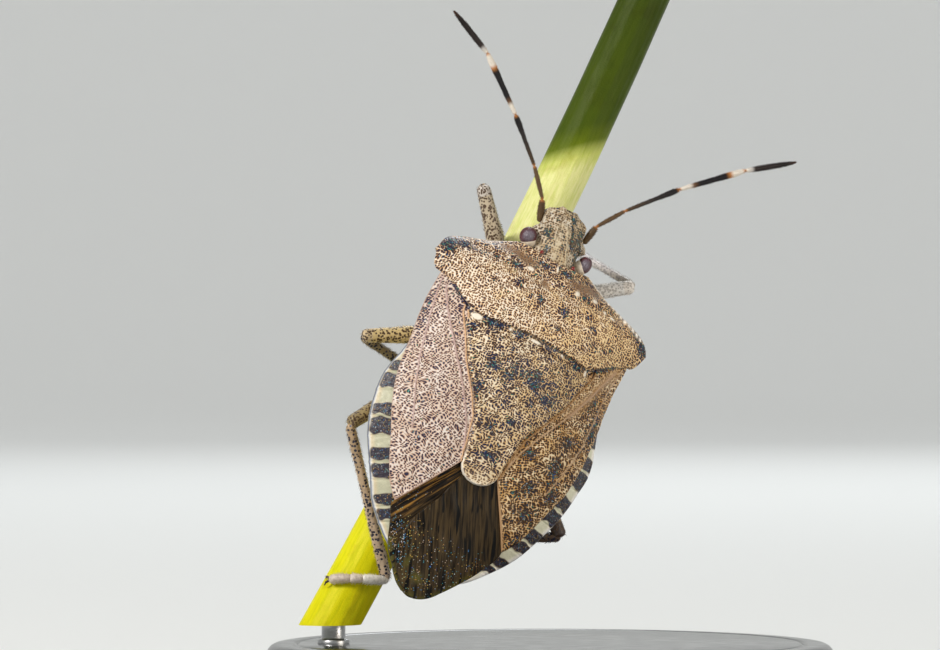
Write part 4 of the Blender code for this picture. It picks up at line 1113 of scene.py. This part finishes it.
# Compound eyes: two dark red domes of tiny facets, one set into each side of the head, with a painted
# highlight in paler grey where they face up.
EYES = {
    "left": ((-1.18, 3.04, 0.47), (0.30, 0.33, 0.33)),
    "right": ((1.15, 3.04, 0.50), (0.245, 0.32, 0.31)),
}
SOCKETS = {
    "left": ((-1.10, 2.90, 0.42), (0.26, 0.28, 0.29)),
    "right": ((1.06, 2.90, 0.42), (0.25, 0.30, 0.29)),
}

# The way the eyes' painted highlight faces, in the bug's frame.
HIGHLIGHT_FACING = (-0.306, -0.305, 0.902)

look, tree, shader = new_look("compound_eye")
facets = add_node("ShaderNodeTexVoronoi", Vector=object_place(tree, 26.0), Scale=1.0).outputs["Distance"]
# Painted highlight: paler grey where the eye faces that way.
painted_highlight = fade(attribute(tree, "facing", "Fac"), 0.50, 1.0)
colour = blend_colours(painted_highlight, (0.110, 0.016, 0.022), (0.20, 0.17, 0.21))
colour = blend_colours(fade(facets, 0.25, 0.7, 0.0, 0.55), colour, (0.03, 0.008, 0.012))
set_inputs(shader, Base_Color=colour, Roughness=fade(facets, 0.2, 0.7, 0.12, 0.3))
add_bump(shader, times(facets, -1.0), depth=0.012)
for side_name, (centre, radii) in EYES.items():
    rings = ball(centre, radii, rows=90, sides=120)
    facing = ((rings - np.array(centre)) / radii) @ np.array(HIGHLIGHT_FACING)
    make_piece("faceted_eye_" + side_name, on_bug(loft(rings)), look, ["eye_" + side_name],
               {"facing": facing.ravel()})

look, tree, shader = new_look("pale_socket", Roughness=0.45)
ground = blend_colours(noise(object_place(tree), 7.0, 3.0), (0.92, 0.85, 0.74), (0.66, 0.50, 0.32))
set_inputs(shader, Base_Color=ground)
add_bump(shader, noise(object_place(tree), 20.0, 3.0), depth=0.012)
for side_name, (centre, radii) in SOCKETS.items():
    socket = loft(ball(centre, radii, rows=50, sides=64))
    make_piece("eye_socket_" + side_name, on_bug(socket), look, ["head"])

# Antennae: five thin segments on each side, hinged end to end from the front of the head. They are brown
# to black with white bands at the joints, and covered with fine hairs.
FEELER_JOINTS = {
    "left": ((-0.82, 3.86, 0.00), (-1.12, 4.56, 0.28), (-1.88, 5.50, 0.35), (-3.35, 6.71, 0.73),
             (-5.27, 8.10, 1.10), (-7.00, 8.90, 1.10)),
    "right": ((0.98, 3.90, 0.03), (1.12, 4.60, 0.28), (1.88, 5.60, 0.35), (3.35, 7.14, 0.73),
              (5.28, 8.81, 1.10), (6.98, 10.02, 1.10)),
}
FEELER_RADII = (
    ((0, 0.085), (0.15, 0.10), (0.8, 0.105), (1, 0.08)),
    ((0, 0.045), (0.1, 0.055), (0.85, 0.062), (1, 0.05)),
    ((0, 0.045), (0.1, 0.055), (0.6, 0.070), (0.92, 0.088), (1, 0.065)),
    ((0, 0.050), (0.12, 0.070), (0.5, 0.088), (0.9, 0.092), (1, 0.065)),
    ((0, 0.050), (0.12, 0.080), (0.4, 0.095), (0.75, 0.082), (1, 0.035)),
)
WHITE = (0.80, 0.74, 0.66)
ORANGE = (0.50, 0.20, 0.05)
FEELER_TONES = (
    ((0, (0.13, 0.08, 0.035)), (0.85, (0.10, 0.06, 0.03)), (1, ORANGE)),
    ((0, ORANGE), (0.08, (0.12, 0.07, 0.035)), (0.9, (0.13, 0.075, 0.035)), (1, ORANGE)),
    ((0, ORANGE), (0.06, (0.09, 0.055, 0.03)), (0.5, (0.035, 0.028, 0.026)), (0.93, (0.014, 0.012, 0.014)),
     (1, ORANGE)),
    ((0, ORANGE), (0.04, WHITE), (0.16, WHITE), (0.22, (0.16, 0.08, 0.04)), (0.3, (0.012, 0.010, 0.012)),
     (0.70, (0.012, 0.010, 0.012)), (0.76, ORANGE), (0.82, WHITE), (0.95, WHITE), (1, ORANGE)),
    ((0, ORANGE), (0.03, WHITE), (0.12, (0.55, 0.52, 0.50)), (0.18, (0.030, 0.020, 0.018)),
     (0.8, (0.014, 0.010, 0.009)), (1, (0.06, 0.025, 0.015))),
)


def tube(line, radii, count, sides, flat=1.0, ribs=0, rib_size=0.0, blunt=2.0):
    """Rings of points round a smooth line with rounded ends, and the share of the way of each ring. The
    ends are flatter the higher the value of blunt."""
    shares = 0.5 - 0.5 * np.cos(math.pi * np.linspace(0.015, 0.985, count))
    centres = walk(line, shares)
    ways = unit(np.gradient(centres, axis=0))
    across = unit(np.cross(ways, np.array(BUG_BACK)))
    rise = np.cross(across, ways)
    length = np.linalg.norm(np.diff(centres, axis=0), axis=1).sum()
    radius = along(radii, shares)
    near = np.clip(np.minimum(shares, 1 - shares) * length / np.maximum(radius, 1e-6), 0, 1)
    radius = radius * (1 - (1 - near)**blunt)**(1 / blunt)
    turns = np.linspace(0, 2 * math.pi, sides, endpoint=False)
    wave = (1 + rib_size * np.cos(ribs * turns))[None, :, None]
    outward = across[:, None] * np.cos(turns)[None, :, None] * flat
    outward = outward + rise[:, None] * np.sin(turns)[None, :, None]
    return centres[:, None] + outward * wave * radius[:, None, None], shares, ways


def hair_tree():
    """Sets short stiff hairs all over a skin, leaning along its comb."""
    tree, given, result = new_tree("hairs", (("Density", "Float"), ("Length", "Float"), ("Width", "Float"),
                                             ("Lean", "Float")))
    spread = add_node("GeometryNodeDistributePointsOnFaces", Mesh=given["Geometry"],
                      Density=given["Density"], Seed=4)
    leaning = scaled(named_vector(tree, "comb"), given["Lean"])
    way = add_node("ShaderNodeVectorMath", {"operation": "ADD"}, i0=leaning,
                   i1=spread.outputs["Normal"]).outputs[0]
    turned = add_node("FunctionNodeAlignRotationToVector", {"axis": "Z"}, Vector=way).outputs[0]
    hair = add_node("GeometryNodeMeshCone", Vertices=3, Radius_Top=times(given["Width"], 0.15),
                    Radius_Bottom=given["Width"], Depth=given["Length"]).outputs[0]
    hairs = add_node("GeometryNodeInstanceOnPoints", Points=spread.outputs["Points"], Instance=hair,
                     Rotation=turned)
    real = add_node("GeometryNodeRealizeInstances", Geometry=hairs.outputs[0])
    joined = tree.nodes.new("GeometryNodeJoinGeometry")
    tree.links.new(given["Geometry"], joined.inputs[0])
    tree.links.new(real.outputs[0], joined.inputs[0])
    done = add_node("GeometryNodeSetMaterial", Geometry=joined.outputs[0], Material=given["Finish"])
    tree.links.new(done.outputs[0], result[0])
    return tree


def limb_fields(rings, ways, tint, speckled):
    """Values of a limb's points: a tint for all or for each ring, the way its hairs lean, and its specks."""
    count, sides = rings.shape[:2]
    tint = np.broadcast_to(tint, (count, 3))
    return {"tint": np.repeat(tint, sides, 0), "comb": np.repeat(ways, sides, 0),
            "speckled": np.full(count * sides, speckled)}


def hairy(density, length, width, lean):
    """A covering of hairs, as so many on a square metre and with their length and width in millimetres."""
    return [(hairs, {"Density": density, "Length": length * MM, "Width": width * MM, "Lean": lean})]


hairs = hair_tree()
feeler_look = tinted("feeler_cuticle", (0.02, 0.012, 0.01), cell=0.07, coverage=0.10, roughness=0.38,
                     specular=0.22)
for side_name, joints in FEELER_JOINTS.items():
    for k, (radii, stops) in enumerate(zip(FEELER_RADII, FEELER_TONES)):
        rings, shares, ways = tube(to_row(joints[k:k + 2]), radii, count=70, sides=28)
        make_piece(f"feeler_{side_name}_{k + 1}", loft(rings), feeler_look, [f"antenna_{side_name}_{k + 1}"],
                   limb_fields(rings, ways, tones(shares, stops), 0.6),
                   hairy(9e8, 0.055, 0.004, lean=1.2))

# Beak: the piercing mouthparts, a jointed tube of tan cuticle with a dark tip. It is folded back along the
# middle of the underside, in the groove between the hips.
BEAK = ((0, 4.05, -0.80), (0, 3.2, -1.12), (0, 2.35, -1.46), (0, 1.2, -2.05), (0, -0.9, -2.42))
BEAK_RADII = (
    (0, 0.13), (0.1, 0.18), (0.24, 0.19), (0.26, 0.15), (0.28, 0.19), (0.5, 0.17), (0.52, 0.13),
    (0.54, 0.17), (0.76, 0.14), (0.78, 0.10), (0.80, 0.13), (0.95, 0.09), (1, 0.03),
)
BEAK_TONES = (
    (0, (0.42, 0.30, 0.14)), (0.76, (0.40, 0.27, 0.12)), (0.86, (0.12, 0.07, 0.03)),
    (1, (0.012, 0.008, 0.006)),
)
leg_look = tinted("leg_cuticle", (0.085, 0.046, 0.022), cell=0.085, coverage=0.46, roughness=0.38,
                  patchy=0.9)
rings, shares, ways = tube(to_row(BEAK), BEAK_RADII, count=220, sides=40)
make_piece("folded_beak", loft(rings), leg_look, ["beak"],
           limb_fields(rings, ways, tones(shares, BEAK_TONES), 0.2))

# Legs: three on each side, with a hip, a thigh, a shin and a three-piece foot with two claws. They are tan
# cuticle with dark mottling and rows of specks, and the feet grip the stem. Each hip, thigh and shin is
# painted lighter or darker for the light and shade that fall on that leg.
LEGS = {
    ("front", "left"): ((-0.46, 1.75, -1.80), (-2.84, 4.57, -1.32), (15.55, -85), (15.45, -155)),
    ("front", "right"): ((0.60, 1.75, -2.08), (3.70, 3.72, -0.95), (16.42, 74), (16.32, 145)),
    ("middle", "left"): ((-1.50, -0.45, -2.62), (-4.33, -1.87, -3.10), (10.50, -82), (10.40, -150)),
    ("middle", "right"): ((1.50, -0.45, -2.62), (4.30, -1.85, -3.05), (10.90, 82), (10.80, 150)),
    ("hind", "left"): ((-1.50, -1.90, -2.66), (-3.96, -5.34, -1.82), (4.44, 42), (3.50, -68)),
    ("hind", "right"): ((1.50, -1.90, -2.66), (4.92, -5.48, -2.00), (6.20, 74), (6.05, 145)),
}
FOOT_CLEARANCE = 0.19
HIP_DEPTH = 0.15
COXA_RADII = ((0, 0.30), (0.5, 0.34), (1, 0.24))
FEMUR_RADII = ((0, 0.17), (0.12, 0.24), (0.40, 0.315), (0.7, 0.275), (0.93, 0.25), (1, 0.24))
TIBIA_RADII = ((0, 0.14), (0.08, 0.17), (0.3, 0.160), (0.85, 0.19), (1, 0.18))
TOE_RADII = ((0, 0.145), (0.3, 0.165), (0.8, 0.175), (1, 0.16))
CLAW_RADII = ((0, 0.05), (0.6, 0.035), (1, 0.012))
FOOT_PIECES = ((0, 0.45), (0.43, 0.62), (0.60, 0.92))
# Hip and thigh colours near the hip and at the knee of each leg, set apart as painted light and shade: the
# front right pale, the hind right dark.
FEMUR_LIT_AND_SHADED_TONES = {
    ("front", "left"): ((0.54, 0.45, 0.32), (0.56, 0.50, 0.44)),
    ("front", "right"): ((0.90, 0.87, 0.84), (0.84, 0.78, 0.72)),
    ("middle", "left"): ((0.68, 0.52, 0.25), (0.62, 0.48, 0.28)),
    ("middle", "right"): ((0.50, 0.38, 0.18), (0.45, 0.34, 0.18)),
    ("hind", "left"): ((0.40, 0.30, 0.14), (0.36, 0.27, 0.13)),
    ("hind", "right"): ((0.30, 0.20, 0.10), (0.05, 0.03, 0.025)),
}
SHIN_TONES = ((0, (0.40, 0.29, 0.16)), (0.5, (0.50, 0.39, 0.25)), (1, (0.50, 0.40, 0.28)))
# Painted light and shade on each shin, as factors of its colour: bluish pale on the front right, dark on the
# hind right.
SHIN_LIGHT_AND_SHADE = {"front_right": (1.15, 1.4, 2.2), "hind_right": (0.25, 0.2, 0.2),
               "hind_left": (1.25, 1.2, 1.25), "middle_left": (0.65, 0.68, 0.65)}
SHIN_SLIMNESS = {"front_right": 0.8}
SPECKLED = {"front_right": 0.45}
FOOT_TONES = ((0.92, 0.89, 0.84), (0.80, 0.70, 0.62), (0.64, 0.54, 0.45))
CLAW_TONE = (0.05, 0.03, 0.02)


def joined(pieces):
    """The skins of several sets of rings as one, and their fields."""
    points, faces, fields = [], [], {}
    start = 0
    for rings, more in pieces:
        some, skin = loft(rings)
        points.append(some)
        faces += [[start + v for v in face] for face in skin]
        for field, values in more.items():
            fields.setdefault(field, []).append(values)
        start += len(some)
    return (np.concatenate(points), faces), {name: np.concatenate(v) for name, v in fields.items()}


shin_look = tinted("shin_cuticle", (0.030, 0.028, 0.050), cell=0.115, coverage=0.42, roughness=0.36)
for (place_name, side_name), (hip, knee, heel, claws) in LEGS.items():
    limb = f"leg_{place_name}_{side_name}_"
    label = f"{place_name}_{side_name}"
    speckled = SPECKLED.get(label, 1.0)
    root = (hip[0], hip[1], float(belly_height(np.array(hip[0]), np.array(hip[1]))) + HIP_DEPTH)
    root, hip, knee = to_row([root, hip, knee])
    rings, shares, ways = tube([root, (root + hip) / 2, hip], COXA_RADII, count=50, sides=40)
    near, far = (np.array(c) for c in FEMUR_LIT_AND_SHADED_TONES[place_name, side_name])
    make_piece("hip_" + label, loft(rings), leg_look, [limb + "coxa"],
               limb_fields(rings, ways, near, 0.7))

    rings, shares, ways = tube([hip + (hip - knee) * 0.02, (hip + knee) / 2, knee], FEMUR_RADII, count=110,
                               sides=48, blunt=3.0)
    tint = near + (far - near) * (shares[:, None] > 0.9)
    make_piece("thigh_" + label, loft(rings), leg_look, [limb + "femur"],
               limb_fields(rings, ways, tint, speckled), hairy(5e7, 0.09, 0.006, lean=1.5))

    foot = np.array([on_stem(heel[0] + (claws[0] - heel[0]) * s, heel[1] + (claws[1] - heel[1]) * s,
                             FOOT_CLEARANCE) for s in np.linspace(0, 1, 9)])
    slim = SHIN_SLIMNESS.get(label, 1.0)
    radii = [(share, radius * slim) for share, radius in TIBIA_RADII]
    rings, shares, ways = tube([knee, (knee + foot[0]) / 2, foot[0]], radii, count=120, sides=48, ribs=4,
                               rib_size=0.06)
    tint = tones(shares, SHIN_TONES) * SHIN_LIGHT_AND_SHADE.get(label, (1.0, 1.0, 1.0))
    make_piece("shin_" + label, loft(rings), shin_look, [limb + "tibia"],
               limb_fields(rings, ways, tint, speckled), hairy(1.6e8, 0.12, 0.006, lean=1.6))

    toes = []
    for (start, end), tone in zip(FOOT_PIECES, FOOT_TONES):
        line = walk(foot, np.linspace(start, end, 5))
        rings, shares, ways = tube(line, TOE_RADII, count=40, sides=32, flat=0.95, blunt=3.5)
        toes.append((rings, limb_fields(rings, ways, tone, 0.15)))
    way = unit(foot[-1] - foot[-2])
    outward = unit(foot[-1] - stem_point(claws[0]))
    for turn in (-1, 1):
        sideways = np.cross(way, outward) * turn
        start = walk(foot, [0.90])[0]
        line = [start, start + way * 0.16 + sideways * 0.12 + outward * 0.05,
                start + way * 0.30 + sideways * 0.15 - outward * 0.06]
        rings, shares, ways = tube(line, CLAW_RADII, count=24, sides=12)
        toes.append((rings, limb_fields(rings, ways, CLAW_TONE, 0.0)))
    skin, fields = joined(toes)
    make_piece("foot_" + label, skin, leg_look, [limb + "tarsus"], fields,
               hairy(2.5e8, 0.08, 0.005, lean=0.8))
